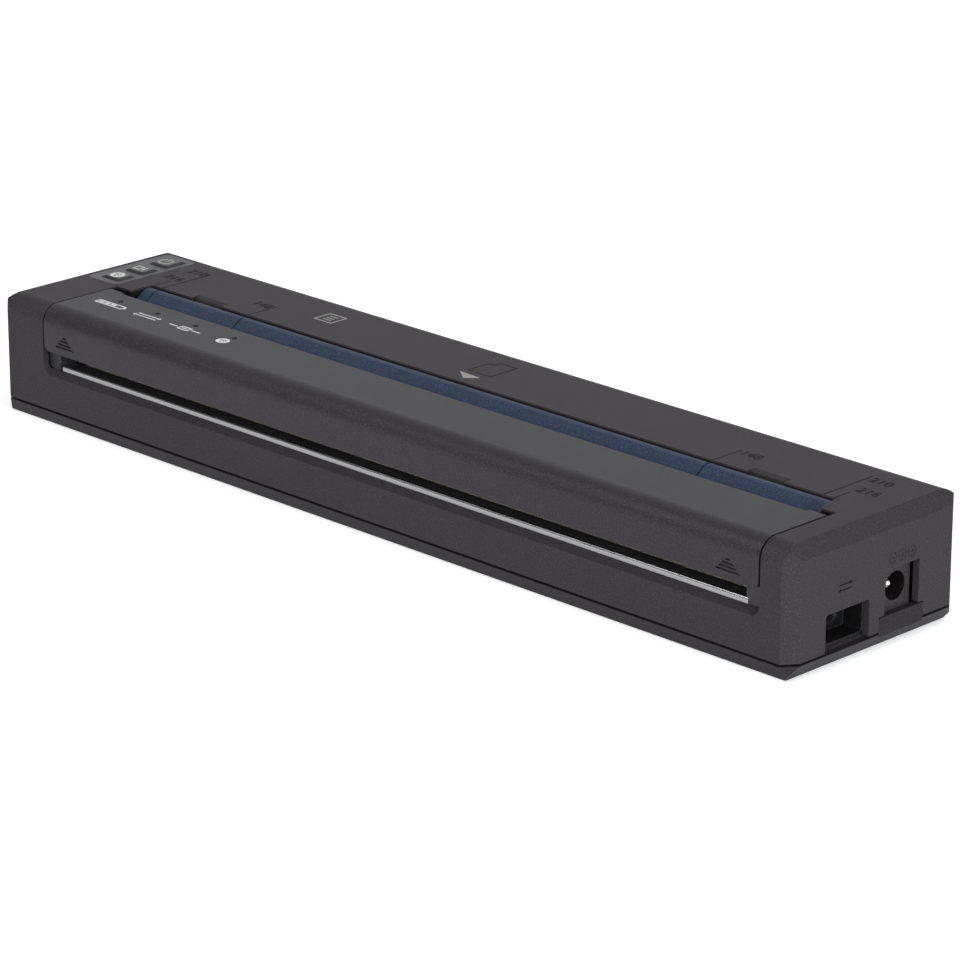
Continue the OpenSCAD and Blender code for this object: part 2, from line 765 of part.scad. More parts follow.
// ---- gears ----
// One tooth flank set: trapezoid teeth with rounded feet, thinner than half a pitch
function tooth_point(n, k, part, r, half) =
    let (a = 360 * k / n + part * half) [r * cos(a), r * sin(a)];

module gear_outline(n) {
    rp = gear_m * n / 2;
    pitch_half = 360 / n / 4 * 0.86;
    tip = rp + 0.85 * gear_m;
    root = rp - 1.15 * gear_m;
    mid = rp - 0.5 * gear_m;
    polygon([for (k = [0 : n - 1]) each [
        tooth_point(n, k, -1, root, pitch_half * 1.55),
        tooth_point(n, k, -1, mid, pitch_half * 1.28),
        tooth_point(n, k, -1, rp, pitch_half),
        tooth_point(n, k, -1, tip, pitch_half * 0.5),
        tooth_point(n, k, 1, tip, pitch_half * 0.5),
        tooth_point(n, k, 1, rp, pitch_half),
        tooth_point(n, k, 1, mid, pitch_half * 1.28),
        tooth_point(n, k, 1, root, pitch_half * 1.55)]]);
}

// Turn of a gear that meshes with a neighbour turned by a1, seen at angle dir from that neighbour
function mesh_turn(a1, n1, n2, dir) =
    let (f1 = (dir - a1) * n1 / 360) dir + 180 - (0.5 - f1) * 360 / n2;

double_turn = mesh_turn(0, platen_teeth, small_teeth, double_a);
pinion_turn = mesh_turn(double_turn, big_teeth, pinion_teeth, motor_a);

module gear_at(x0, x1, y, z, n, turn) {
    translate([x0, y, z]) rotate([90, 0, 90]) rotate([0, 0, turn]) linear_extrude(x1 - x0)
        gear_outline(n);
}

module platen_gear() {
    color([0.88, 0.87, 0.83]) difference() {
        gear_at(gear_x0, gear_x0 + gear_w, platen_y, platen_z, platen_teeth, 0);
        rod_x(left_x, right_x, platen_y, platen_z, shaft_d / 2 + press_play);
    }
}

module reduction_gear() {
    color([0.86, 0.85, 0.8]) difference() {
        union() {
            gear_at(big_x1 - big_w, big_x1, double_y, double_z, big_teeth, double_turn);
            rod_x(big_x1, gear_x0, double_y, double_z, 2.6);
            gear_at(gear_x0, gear_x0 + gear_w, double_y, double_z, small_teeth, double_turn);
        }
        rod_x(left_x, right_x, double_y, double_z, post_r + run_play);
    }
}

module motor_pinion() {
    color([0.8, 0.66, 0.35]) {
        gear_at(big_x1 - big_w, big_x1, motor_y, motor_z, pinion_teeth, pinion_turn);
        rod_x(gplate_x0 - 5, big_x1 - big_w, motor_y, motor_z, motor_shaft_r);
    }
}

// Steel plate that carries the motor and the post of the double gear
module gear_plate() {
    color([0.7, 0.71, 0.73]) difference() {
        union() {
            along_x(gplate_x0, gplate_x1) polygon([[rim_in_y, floor_z],
                [double_y + 5, floor_z], [double_y + 5, double_z + 3], [double_y, double_z + 7],
                [motor_y + 2, motor_z + 9], [rim_in_y, motor_z + 9]]);
            box(gplate_x0, gplate_x1 + 5, front_y + 5, double_y + 3, floor_z, floor_z + plate_t);
            rod_x(gplate_x1, gear_x0 + gear_w + 0.9, double_y, double_z, post_r);
        }
        rod_x(left_x, gplate_x1 + 1, motor_y, motor_z, 2.1);
        for (s = [-1, 1]) rod_x(left_x, gplate_x1 + 1, motor_y, motor_z + s * motor_screw_at,
            motor_screw_r + snug);
        for (y = gear_screw_ys) translate([gplate_x1 + 3, y, floor_z - 1])
            cylinder(h = 4, r = 0.9);
    }
}

gear_screw_ys = [front_y + 8, double_y];

module drive_motor() {
    boss = 2;
    color([0.62, 0.63, 0.66]) difference() {
        union() {
            rod_x(gplate_x0 - motor_len, gplate_x0, motor_y, motor_z, motor_d / 2);
            rod_x(gplate_x0, gplate_x1, motor_y, motor_z, boss);
        }
        rod_x(gplate_x0 - 5 - loose, right_x, motor_y, motor_z, motor_shaft_r + run_play);
        for (s = [-1, 1]) rod_x(gplate_x0 - 2.3, gplate_x0 + 1, motor_y,
            motor_z + s * motor_screw_at, motor_screw_r + press_play);
    }
}

// Retaining rings on the gear post and on the roller's shaft
module gear_clips() {
    color([0.3, 0.3, 0.32]) difference() {
        rod_x(gear_x0 + gear_w + 0.1, gear_x0 + gear_w + 0.6, double_y, double_z, 2.2);
        rod_x(left_x, right_x, double_y, double_z, post_r + press_play);
    }
}

// ---- print head ----
module thermal_head() {
    color([0.8, 0.78, 0.7]) {
        box(head_x0, head_x1, platen_y - 5, platen_y + 4.2, sink_top, ceramic_top - 0.05);
        // raised glaze line under the roller
        box(head_x0 + 1, head_x1 - 1, platen_y - 0.6, platen_y + 0.6, ceramic_top - 0.05,
            ceramic_top);
    }
}

module heat_sink() {
    color([0.72, 0.73, 0.75]) difference() {
        union() {
            box(head_x0, head_x1, sink_y0, sink_y1, sink_z0, sink_top);
            for (s = [-1, 1]) {
                x = paper_cx + s * lug_half;
                rod_x(x - 3, x + 3, rod_y, rod_z, 2);
                box(x - 3, x + 3, sink_y1 - 1, rod_y, sink_z0 + 0.1, rod_z + 1);
            }
        }
        rod_x(left_x, right_x, rod_y, rod_z, rod_r + run_play);
        // long grooves that thin the plate
        for (y = [sink_y0 + 2, sink_y0 + 5.6]) box(head_x0 + 6, head_x1 - 6, y, y + 1.4,
            sink_z0 - 1, sink_z0 + 1.2);
    }
}

module head_rod() {
    color([0.78, 0.78, 0.8]) rod_x(paper_cx - lug_half - 6, paper_cx + lug_half + 6, rod_y,
        rod_z, rod_r);
}

spring_at = [for (k = [-2 : 2]) paper_cx + k * 44];
spring_r = 1.7;
spring_wire = 0.35;
spring_turns = 3;
spring_y = sink_y0 + 4.5;

// Coil of round wire, square to its seats at both ends
module coil(r, wire, z0, z1, turns) {
    rings = 12 * turns;
    sides = 6;
    rise = (z1 - z0 - 2 * wire) / rings;
    points = [for (i = [0 : rings]) let (a = 360 * i / 12)
        for (s = [0 : sides - 1]) let (b = 360 * s / sides, q = r + wire * cos(b))
            [q * cos(a), q * sin(a), z0 + wire + rise * i + wire * sin(b)]];
    polyhedron(points, [
        [for (s = [0 : sides - 1]) s],
        for (i = [0 : rings - 1], s = [0 : sides - 1])
            [i * sides + s, (i + 1) * sides + s, (i + 1) * sides + (s + 1) % sides,
                i * sides + (s + 1) % sides],
        [for (s = [sides - 1 : -1 : 0]) rings * sides + s]]);
}

module head_springs() {
    color([0.75, 0.75, 0.78]) for (x = spring_at) translate([x, spring_y, 0])
        coil(spring_r, spring_wire, chassis_z1, sink_z0, spring_turns);
}

// ---- chassis ----
module chassis() {
    color([0.68, 0.69, 0.71]) difference() {
        union() {
            box(head_x0 - 0.6, head_x1 + 0.3, chassis_y0, chassis_y1, chassis_z1 - chassis_t,
                chassis_z1);
            // tabs that hold the head's rod
            for (s = [-1, 1]) {
                x = paper_cx + s * (lug_half + 4.4);
                along_x(x - 0.6, x + 0.6) {
                    translate([rod_y, rod_z]) circle(rod_r + 0.6);
                    translate([rod_y - 1.2, chassis_z1 - 0.5])
                        square([2.4, rod_z - chassis_z1 + 0.5]);
                }
            }
            // tabs that hold the flag's pin
            for (s = [-1, 1]) {
                x = paper_cx + s * 4.2;
                along_x(x - 0.4, x + 0.4) {
                    translate([flag_y, flag_z]) circle(1.2);
                    translate([flag_y - 1.2, chassis_z1 - 0.5])
                        square([2.2, flag_z - chassis_z1 + 0.5]);
                }
            }
        }
        rod_x(left_x, right_x, rod_y, rod_z, rod_r + press_play);
        rod_x(paper_cx - 8, paper_cx + 8, flag_y, flag_z, flag_pin_r + press_play);
        for (p = chassis_post_at) translate([p[0], p[1], 0]) cylinder(h = 20, r = 1);
    }
}

// Flat lead from the head to the main board
module head_flex() {
    t = 0.2;
    y1 = main_board_y - 1.45;
    color([0.75, 0.5, 0.15]) along_x(paper_cx + 20, paper_cx + 70) {
        translate([sink_y1 - 1.5, sink_z0 - loose - t]) square([3.6, t]);
        translate([sink_y1 + 2.1, chassis_z1 + 2.5]) square([t, sink_z0 - loose - chassis_z1 - 2.5]);
        translate([sink_y1 + 2.1, chassis_z1 + 2.5]) square([y1 - sink_y1 - 2.1, t]);
    }
}

// ---- exit slot ----
module tear_bar() {
    color([0.85, 0.86, 0.87]) along_x(slot_x0 + 0.6, slot_x1 + 0.3) {
        translate([bar_y0, chassis_z1 + 3]) square([bar_t, bar_top - bar_t / 2 - chassis_z1 - 3]);
        translate([bar_y0 + bar_t / 2, bar_top - bar_t / 2]) circle(bar_t / 2);
    }
}

module exit_guide() {
    y0 = bar_y0 + bar_t;
    y1 = sink_y0 - 0.6;
    top = ceramic_top - 0.15;
    color([0.1, 0.1, 0.11]) difference() {
        union() {
            along_x(cover_x0 - 0.2, cover_x1 + 0.2) {
                translate([y0, top - 2.6]) square([y1 - y0, 2.6]);
                translate([y0, lip_z - 3]) square([1, top - lip_z + 3]);
            }
            box(head_x0 - 0.6, head_x1 + 0.3, y0, y0 + 1, chassis_z1, top);
            // end blocks that close the slot at both sides
            intersection() {
                union() {
                    for (x = [[cover_x0 - 2, slot_x0], [slot_x1, cover_x1 + 2]])
                        box(x[0], x[1], front_y + block_back, y1, lip_z, cover_z - loose);
                }
                along_y(front_y, 0) round_rect(cover_x0 - cover_gap + snug,
                    cover_x1 + cover_gap - snug, lip_z + 0.3, top_z, opening_round - 2 * snug);
            }
        }
        // the lip of the case lies below the blocks
        along_x(cover_x0 - 3, cover_x1 + 3) polygon([[front_y - 1, lip_z - 3],
            [lip_y1 + snug, lip_z - 3], [lip_y1 + snug, lip_at(lip_y1) + 2 * snug],
            [front_y - 1, lip_at(front_y - 1) + 2 * snug]]);
        // seat of the bar
        box(slot_x0 - 0.4, slot_x1 + 0.4, bar_y0 - 0.1, y0, 0, bar_top + 0.2);
        // slits round the tongues that lift the sheet, and the joint line in the middle
        for (k = [0 : 3], x = [guide_seam_x - k * tongue_pitch,
            guide_seam_x + tongue_w + k * tongue_pitch]) {
            box(x - tongue_w, x, tongue_y, tongue_y + tongue_slit, top - 1, top + 1);
            box(x - tongue_slit, x, y0 - 1, tongue_y + tongue_slit, top - 1, top + 1);
        }
        box(guide_seam_x - tongue_slit, guide_seam_x, y0 - 1, y1 + 1, top - 0.8, top + 1);
    }
}

// ---- blue paper guide ----
guide_knee = [platen_y + guide_r * cos(guide_knee_a), platen_z + guide_r * sin(guide_knee_a)];
guide_slope = 0.6;

module guide_section() {
    front_of_flat = guide_back_y - guide_flat;
    // point where the slope from the flat meets the arc round the roller
    drop = (front_of_flat - guide_knee[0]) * guide_slope;
    low_a = -45;
    outer = [[guide_back_y, guide_top_z - 5.2], [guide_back_y, guide_top_z - 0.5],
        [guide_back_y - 0.15, guide_top_z - 0.15], [guide_back_y - 0.5, guide_top_z],
        [front_of_flat, guide_top_z], [front_of_flat - 0.6, guide_top_z - 0.15],
        [guide_knee[0] + 0.2, guide_top_z - drop]];
    arc_in = arc_points(platen_y, platen_z, guide_r, guide_knee_a, low_a, 10);
    arc_out = arc_points(platen_y, platen_z, guide_r + guide_t, low_a, guide_knee_a - 6, 9);
    under = [[guide_knee[0] + 1.9, guide_top_z - drop - 0.6],
        [front_of_flat - 0.2, guide_top_z - guide_t - 0.3],
        [guide_back_y - 1.1, guide_top_z - guide_t - 0.1], [guide_back_y - 1.1, guide_top_z - 5.2]];
    polygon(concat(outer, arc_in, arc_out, under));
}

module paper_guide() {
    groove = 0.3;
    color([0.16, 0.2, 0.34]) difference() {
        union() {
            along_x(guide_x0, guide_x1) guide_section();
            // ribs that stiffen the guide and reach the case behind it
            for (k = [-3 : 3]) box(paper_cx + k * 34 - 0.5, paper_cx + k * 34 + 0.5,
                guide_back_y - 0.6, rear_edge_y, guide_top_z - 5.2, guide_top_z - 1.6);
            for (k = [-3 : 2]) along_x(paper_cx + k * 34 + 11, paper_cx + k * 34 + 12)
                difference() {
                    polygon([[guide_knee[0] + 0.4, guide_knee[1]],
                        [guide_back_y - 1, guide_top_z - 1], [guide_back_y - 1, guide_top_z - 5.2],
                        [platen_y + guide_r + 2.4, platen_z - 4],
                        [platen_y + guide_r - 1, platen_z - 4]]);
                    translate([platen_y, platen_z]) circle(guide_r + 0.4);
                    translate([0, guide_top_z - 0.6]) square([20, 5], center = true);
                    polygon([[guide_knee[0] - 2, guide_knee[1] + 3], [guide_back_y, top_z + 3],
                        [guide_back_y - 1.9, guide_top_z - 0.3], [guide_knee[0] + 0.2,
                        guide_knee[1] + 0.1]]);
                }
        }
        // the size marks run on down the slope
        for (x = [paper_cx - a4_w / 2, paper_cx - a5_w / 2, paper_cx + a5_w / 2])
            along_x(x - groove, x + groove) polygon([[guide_back_y + 1, guide_top_z - 0.3],
                [guide_back_y - guide_flat, guide_top_z - 0.3],
                [guide_knee[0] + 2, guide_top_z - 0.3 - (guide_back_y - guide_flat
                - guide_knee[0] - 2) * guide_slope], [guide_knee[0] + 2, top_z],
                [guide_back_y + 1, top_z]]);
        // room for the end of the gear post
        rod_x(guide_x0 - 1, guide_x0 + 1, double_y, double_z, 2.6);
        // slot for the paper flag
        box(paper_cx - 1.2, paper_cx + 1.2, platen_y + 4.6, platen_y + 9, flag_z + 2,
            flag_z + 7.4);
    }
}

// ---- paper flag and its sensor ----
module paper_flag() {
    color([0.12, 0.12, 0.12]) difference() {
        union() {
            rod_x(paper_cx - 0.9, paper_cx + 0.9, flag_y, flag_z, 1.1);
            // arm that reaches into the sheet's path
            along_x(paper_cx - 0.7, paper_cx + 0.7) polygon([[flag_y - 0.9, flag_z],
                [flag_y - 3.7, flag_z + 4.2], [flag_y - 3.8, flag_z + 5],
                [flag_y - 2.6, flag_z + 5.3], [flag_y + 0.9, flag_z]]);
            // blade that swings through the sensor
            along_x(paper_cx - 0.6, paper_cx + 0.6) polygon([[flag_y - 1, flag_z],
                [flag_y + 0.8, flag_z], [flag_y + 0.1, flag_z - 4.6],
                [flag_y - 1, flag_z - 4.6]]);
        }
        rod_x(left_x, right_x, flag_y, flag_z, flag_pin_r + run_play);
    }
}

module flag_pin() {
    color([0.78, 0.78, 0.8]) rod_x(paper_cx - 5, paper_cx + 5, flag_y, flag_z, flag_pin_r);
}

module paper_sensor() {
    z0 = flag_z - 5.4;
    color([0.1, 0.1, 0.1]) difference() {
        box(paper_cx - 2.4, paper_cx + 2.4, flag_y - 2, main_board_y, z0, z0 + 3);
        box(paper_cx - 1, paper_cx + 1, flag_y - 3, main_board_y - 0.7, z0 + 0.4, z0 + 4);
    }
}

// ---- boards ----
module main_board() {
    color([0.05, 0.3, 0.16]) box(paper_cx - 96, paper_cx + 98, main_board_y, main_board_y + 1,
        chassis_z1 + 0.1, platen_z - 2.8);
}

module board_parts() {
    y = main_board_y + 1;
    z0 = chassis_z1 + 2;
    color([0.12, 0.12, 0.13]) {
        box(paper_cx - 60, paper_cx - 46, y, y + 0.9, z0, z0 + 9.4);
        box(paper_cx - 30, paper_cx - 21, y, y + 0.9, z0 + 1, z0 + 9);
        box(paper_cx + 18, paper_cx + 28, y, y + 0.9, z0 + 1, z0 + 8);
        for (k = [0 : 5]) box(paper_cx + 40 + k * 6, paper_cx + 43 + k * 6, y, y + 0.8, z0,
            z0 + 2);
    }
    // sockets of the flat lead and of the sensors
    color([0.85, 0.84, 0.8])
        box(paper_cx + 18, paper_cx + 72, main_board_y - 1.4, main_board_y, z0, z0 + 2);
    // shield can of the radio module
    color([0.7, 0.71, 0.73])
        box(paper_cx - 92, paper_cx - 76, y, y + 1, z0, z0 + 9.4);
}

module port_board() {
    color([0.05, 0.3, 0.16])
        union() {
            box(usb_face_x - usb_len, usb_face_x - 1, usb_y - 5.6, 16.2, port_board_z,
                port_board_z + 1);
            box(usb_face_x - 3, right_x - rim - rim_t - 0.15, tongue_y0 + 0.2, 16.2,
                port_board_z, port_board_z + 1);
        }
}

module type_c_outline(g) {
    round_rect(usb_y - usb_half_w - g, usb_y + usb_half_w + g, usb_z - usb_half_h - g,
        usb_z + usb_half_h + g, usb_round + g);
}

module usb_port() {
    color([0.75, 0.76, 0.78]) {
        difference() {
            along_x(usb_face_x - usb_len, usb_face_x) type_c_outline(0);
            along_x(usb_face_x - 6, usb_face_x + 1) type_c_outline(-0.32);
        }
        // legs on the board
        for (y = [usb_y - 4.2, usb_y + 3.6])
            box(usb_face_x - 6, usb_face_x - 2, y, y + 0.6, port_board_z + 1, usb_z - 1);
    }
    color([0.08, 0.08, 0.09])
        box(usb_face_x - 6, usb_face_x - 0.7, usb_y - 3.3, usb_y + 3.3, usb_z - 0.35, usb_z + 0.35);
}

// Lined pocket that leads a plug to the data socket
module usb_bezel() {
    w = usb_win_w / 2 + 0.9;
    x1 = right_x - wall - 0.05;
    color([0.07, 0.07, 0.08]) difference() {
        along_x(usb_face_x - 0.9, x1) round_rect(usb_y - w, usb_y + w, port_board_z - 1.1,
            seam_z + usb_win_h + 0.9, 1.2);
        along_x(usb_face_x, x1 + 1) round_rect(usb_y - usb_win_w / 2 + 0.1,
            usb_y + usb_win_w / 2 - 0.1, port_board_z - 0.3, seam_z + usb_win_h - 0.1, 0.9);
        along_x(usb_face_x - 3, x1 + 1) type_c_outline(0.12);
    }
}

module dc_jack() {
    color([0.09, 0.09, 0.1]) difference() {
        box(dc_face_x - 12.6, dc_face_x, dc_y - 4.8, dc_y + 4.8, port_board_z + 1, dc_z + 4.7);
        rod_x(dc_face_x - 9.5, dc_face_x + 1, dc_y, dc_z, dc_bore / 2);
        rod_x(dc_face_x - 12, dc_face_x, dc_y, dc_z, dc_pin_d / 2 + press_play);
    }
}

module dc_pin() {
    color([0.8, 0.8, 0.82]) {
        rod_x(dc_face_x - 11.8, dc_face_x - 2.4, dc_y, dc_z, dc_pin_d / 2);
        translate([dc_face_x - 2.4, dc_y, dc_z]) sphere(dc_pin_d / 2);
        // spring contact in the lower wall of the bore
        along_y(dc_y - 1.1, dc_y + 1.1) polygon([
            [dc_face_x - 9.2, dc_z - dc_bore / 2 + 0.4], [dc_face_x - 3, dc_z - dc_bore / 2 + 0.9],
            [dc_face_x - 1.4, dc_z - dc_bore / 2 + 0.3], [dc_face_x - 1.4,
            dc_z - dc_bore / 2 + 0.2], [dc_face_x - 9.2, dc_z - dc_bore / 2 + 0.2]]);
    }
}

// ---- keys ----
module key_board() {
    color([0.05, 0.3, 0.16]) box(panel_x0 + 0.4, panel_x1 - 0.1, panel_y0 + 0.4,
        panel_y1 - 0.8, key_board_z, key_board_z + board_t);
}

module key_switches() {
    for (k = key_rows) translate([key_x, k[0], key_board_z + board_t]) {
        color([0.15, 0.15, 0.16]) translate([-2, -2, 0]) cube([4, 4, 1.2]);
        color([0.8, 0.8, 0.8]) cylinder(h = switch_h, r = 0.9);
    }
}

module control_panel() {
    z0 = top_z - wall + 0.1;
    color([0.32, 0.32, 0.33]) difference() {
        union() {
            translate([0, 0, z0]) linear_extrude(panel_z - z0)
                round_rect(panel_x0, panel_x1, panel_y0, panel_y1, 2);
            // legs that hold the key board
            for (x = [panel_x0 + 0.8, panel_x1 - 1.6], k = [0, 1])
                box(x, x + 0.8, key_rows[k][0] + 2.9, key_rows[k][0] + 4.3, key_board_z
                    + board_t, z0 + 0.1);
        }
        for (k = key_rows) translate([0, 0, z0 - 1]) linear_extrude(5)
            round_rect(key_x - key_w / 2 - 0.2, key_x + key_w / 2 + 0.2,
                k[0] - k[1] / 2 - 0.2, k[0] + k[1] / 2 + 0.2, 0.9);
    }
}

// A key cap with bevelled edges, a collar under the panel and a foot over its switch
module key(row) {
    y = row[0];
    w = key_w / 2;
    d = row[1] / 2;
    collar_top = top_z - wall - snug;
    bevel = 0.6;
    bevel_z = top_z + key_rise - bevel;
    collar = 0.45;
    foot_z = key_board_z + board_t + switch_h + 0.05 + key_travel;
    color([0.36, 0.36, 0.37]) {
        hull() {
            translate([0, 0, collar_top - 0.1]) linear_extrude(bevel_z - collar_top + 0.1)
                round_rect(key_x - w, key_x + w, y - d, y + d, 0.7, $fn = 32);
            translate([0, 0, top_z + key_rise - 0.05]) linear_extrude(0.05)
                round_rect(key_x - w + bevel, key_x + w - bevel, y - d + bevel, y + d - bevel,
                    0.5, $fn = 32);
        }
        translate([0, 0, collar_top - 0.5]) linear_extrude(0.5)
            round_rect(key_x - w - collar, key_x + w + collar, y - d - collar, y + d + collar, 0.9);
        translate([key_x, y, foot_z]) cylinder(h = collar_top - 0.4 - foot_z, r = 1.2);
    }
}

module wireless_button() key(key_rows[0]);

module feed_button() key(key_rows[1]);

module power_button() key(key_rows[2]);

// ---- lamps in the cover ----
module led_board() {
    color([0.05, 0.3, 0.16]) box(lamp_xs[0] - 2.8, lamp_xs[3] + 2.8, lamp_y - 2.6,
        lamp_y + 2.6, lamp_board_z, lamp_board_z + 0.6);
}

module status_leds() {
    color([0.95, 0.95, 0.85]) for (x = lamp_xs)
        box(x - 0.8, x + 0.8, lamp_y - 0.4, lamp_y + 0.4, lamp_board_z + 0.6, lamp_board_z + 1);
}

module light_guides() {
    color([0.8, 0.85, 0.9]) for (x = lamp_xs)
        translate([x, lamp_y, lamp_board_z + 1.05])
            cylinder(h = top_z - 0.35 - lamp_board_z - 1.05, r = 0.72);
}

// ---- battery ----
module battery_pack() {
    skin = 0.9;
    color([0.12, 0.12, 0.13]) difference() {
        along_x(pack_x0, pack_x1) round_rect(pack_y0, pack_y1, pack_z0, pack_z0 + pack_w, 2);
        rod_x(pack_x0 + skin, pack_x0 + skin + cell_count * cell_l + 0.4,
            (pack_y0 + pack_y1) / 2, pack_z0 + pack_w / 2, cell_d / 2 + 0.05);
        // finger groove at the door's end
        box(pack_x0 - 1, pack_x0 + 0.6, pack_y0 + 4, pack_y1 - 4, pack_z0 + 13, pack_z0 + 15.5);
    }
}

cell_l = floor((pack_x1 - pack_x0 - 8) / cell_count);

module battery_cells() {
    color([0.2, 0.35, 0.6]) for (k = [0 : cell_count - 1]) {
        x = pack_x0 + 1.1 + k * cell_l;
        rod_x(x, x + cell_l - 1, (pack_y0 + pack_y1) / 2, pack_z0 + pack_w / 2, cell_d / 2);
        rod_x(x + cell_l - 1, x + cell_l - 0.1, (pack_y0 + pack_y1) / 2, pack_z0 + pack_w / 2,
            3);
    }
}

contact_pitch = 3.5;
contact_ys = [for (k = [-1.5 : 1.5]) (pack_y0 + pack_y1) / 2 + k * contact_pitch];
contact_z = pack_z0 + 5;

module pack_contacts() {
    color([0.85, 0.68, 0.3]) for (y = contact_ys)
        box(pack_x1, pack_x1 + 0.15, y - 0.9, y + 0.9, contact_z - 1.5, contact_z + 1.5);
}

// Insulator with four spring blades that meet the pack's pads
module contact_block() {
    x = pack_x1 + 1.6;
    color([0.1, 0.1, 0.1])
        box(x, x + 4, contact_ys[0] - 2.4, contact_ys[3] + 2.4, floor_z, contact_z + 3);
    color([0.85, 0.7, 0.35]) for (y = contact_ys)
        along_y(y - 0.6, y + 0.6) polygon([[x, contact_z + 1.6], [pack_x1 + 0.17, contact_z + 0.2],
            [pack_x1 + 0.17, contact_z - 0.2], [x, contact_z - 1.6], [x, contact_z - 1.2],
            [pack_x1 + 0.6, contact_z], [x, contact_z + 1.2]]);
}

// Door over the battery, hinged along its lower edge
module battery_door() {
    color([0.16, 0.15, 0.155]) {
        difference() {
            along_y(door_y0, door_y1) polygon([
                [left_x, door_z0 + 0.9], [left_x + 0.25, door_z0 + 0.25], [left_x + 0.9, door_z0],
                [left_x + wall, door_z0], [left_x + wall, door_z1], [left_x, door_z1]]);
            // thumb hollow near the upper edge
            rod_y(door_y0 + 6.5, door_y1 - 6.5, left_x - 2.6, door_z1 - 3.4, 3.4);
        }
        rod_y(door_y0, door_y1, door_axis_x, door_axis_z, door_knuckle_r);
        rod_y(door_y0 - door_gap - 1, door_y1 + door_gap + 1, door_axis_x, door_axis_z,
            door_pin_r);
        // stiffening rib
        box(left_x + wall - 0.1, left_x + wall + door_rib, door_y0 + 1, door_y0 + 2,
            door_z0 + 4, door_z1 - 1);
        box(left_x + wall - 0.1, left_x + wall + door_rib, door_y1 - 2, door_y1 - 1,
            door_z0 + 4, door_z1 - 1);
    }
}

// ---- fasteners and feet ----
module case_screws() {
    color([0.55, 0.56, 0.58]) for (p = case_screw_at) translate([p[0], p[1], 0]) {
        translate([0, 0, screw_head_z]) difference() {
            cylinder(h = screw_head_h, r = screw_head_r);
            translate([-1.2, -0.2, -1]) cube([2.4, 0.4, 1.6]);
            translate([-0.2, -1.2, -1]) cube([0.4, 2.4, 1.6]);
        }
        translate([0, 0, screw_head_z + screw_head_h - 0.1]) cylinder(h = 8, r = screw_r);
    }
}

module frame_screws() {
    color([0.55, 0.56, 0.58]) {
        for (p = chassis_post_at) translate([p[0], p[1], 0]) {
            translate([0, 0, chassis_z1]) cylinder(h = 0.9, r = frame_head_r);
            translate([0, 0, floor_z]) cylinder(h = chassis_z1 - floor_z + 0.1, r = frame_screw_r);
        }
        for (s = [-1, 1]) {
            rod_x(gplate_x1, gplate_x1 + 0.7, motor_y, motor_z + s * motor_screw_at, 1.1);
            rod_x(gplate_x0 - 2, gplate_x1 + 0.1, motor_y, motor_z + s * motor_screw_at,
                motor_screw_r);
        }
    }
}

module rubber_feet() {
    color([0.1, 0.1, 0.1]) for (p = foot_at) translate([p[0], p[1], 0])
        cylinder(h = foot_stand + 0.6, r = foot_d / 2);
}

main_case();
base_cover();
release_cover();
cover_frame();
hinge_pins();
platen_shaft();
platen_rubber();
platen_bushes();
platen_gear();
thermal_head();
heat_sink();
head_rod();
head_springs();
chassis();
head_flex();
tear_bar();
exit_guide();
paper_guide();
gear_plate();
drive_motor();
motor_pinion();
reduction_gear();
gear_clips();
main_board();
board_parts();
port_board();
usb_port();
usb_bezel();
dc_jack();
dc_pin();
key_board();
key_switches();
control_panel();
wireless_button();
feed_button();
power_button();
led_board();
status_leds();
light_guides();
battery_pack();
battery_cells();
pack_contacts();
contact_block();
battery_door();
paper_flag();
flag_pin();
paper_sensor();
case_screws();
frame_screws();
rubber_feet();
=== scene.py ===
"""Bar-shaped portable thermal printer for A4 sheets, dressed around its packed construction."""
import math

import bmesh
import bpy
from mathutils import Matrix, Vector


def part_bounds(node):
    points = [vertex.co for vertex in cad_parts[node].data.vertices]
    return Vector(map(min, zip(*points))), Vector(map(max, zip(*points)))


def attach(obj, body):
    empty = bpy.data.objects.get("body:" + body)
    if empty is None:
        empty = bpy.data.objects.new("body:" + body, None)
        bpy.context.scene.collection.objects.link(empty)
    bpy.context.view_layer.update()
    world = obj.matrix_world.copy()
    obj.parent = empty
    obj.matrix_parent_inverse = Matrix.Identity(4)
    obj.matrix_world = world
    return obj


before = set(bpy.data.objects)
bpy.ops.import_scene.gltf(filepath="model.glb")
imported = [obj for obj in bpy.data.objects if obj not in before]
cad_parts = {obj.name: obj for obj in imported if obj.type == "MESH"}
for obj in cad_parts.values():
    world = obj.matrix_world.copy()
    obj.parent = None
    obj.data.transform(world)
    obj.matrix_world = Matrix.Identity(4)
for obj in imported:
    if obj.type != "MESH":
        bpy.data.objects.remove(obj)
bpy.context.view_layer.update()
MM = 0.001

# ---------------------------------------------------------------------------
# The photographer's table: a pale sheet swept up behind the printer, seen from
# above its right front corner with a long lens from just under a metre away.
azimuth, elevation = math.radians(45.354), math.radians(18.921)
distance = 976.19 * MM
aim = Vector((0, 0, 15 * MM))
yaw, pitch, roll = math.radians(-0.458), math.radians(0.472), math.radians(-0.049)
focal_px, photo_px = 4296.03, 960

back = Vector((math.sin(azimuth) * math.cos(elevation),
               -math.cos(azimuth) * math.cos(elevation), math.sin(elevation)))
side = Vector((math.cos(azimuth), math.sin(azimuth), 0))
up = back.cross(side)
spot = aim + back * distance
turned_back = back * math.cos(yaw) + side * math.sin(yaw)
turned_side = side * math.cos(yaw) - back * math.sin(yaw)
lens_back = turned_back * math.cos(pitch) + up * math.sin(pitch)
lens_up = up * math.cos(pitch) - turned_back * math.sin(pitch)
lens_side = turned_side * math.cos(roll) + lens_up * math.sin(roll)
lens_up = lens_up * math.cos(roll) - turned_side * math.sin(roll)

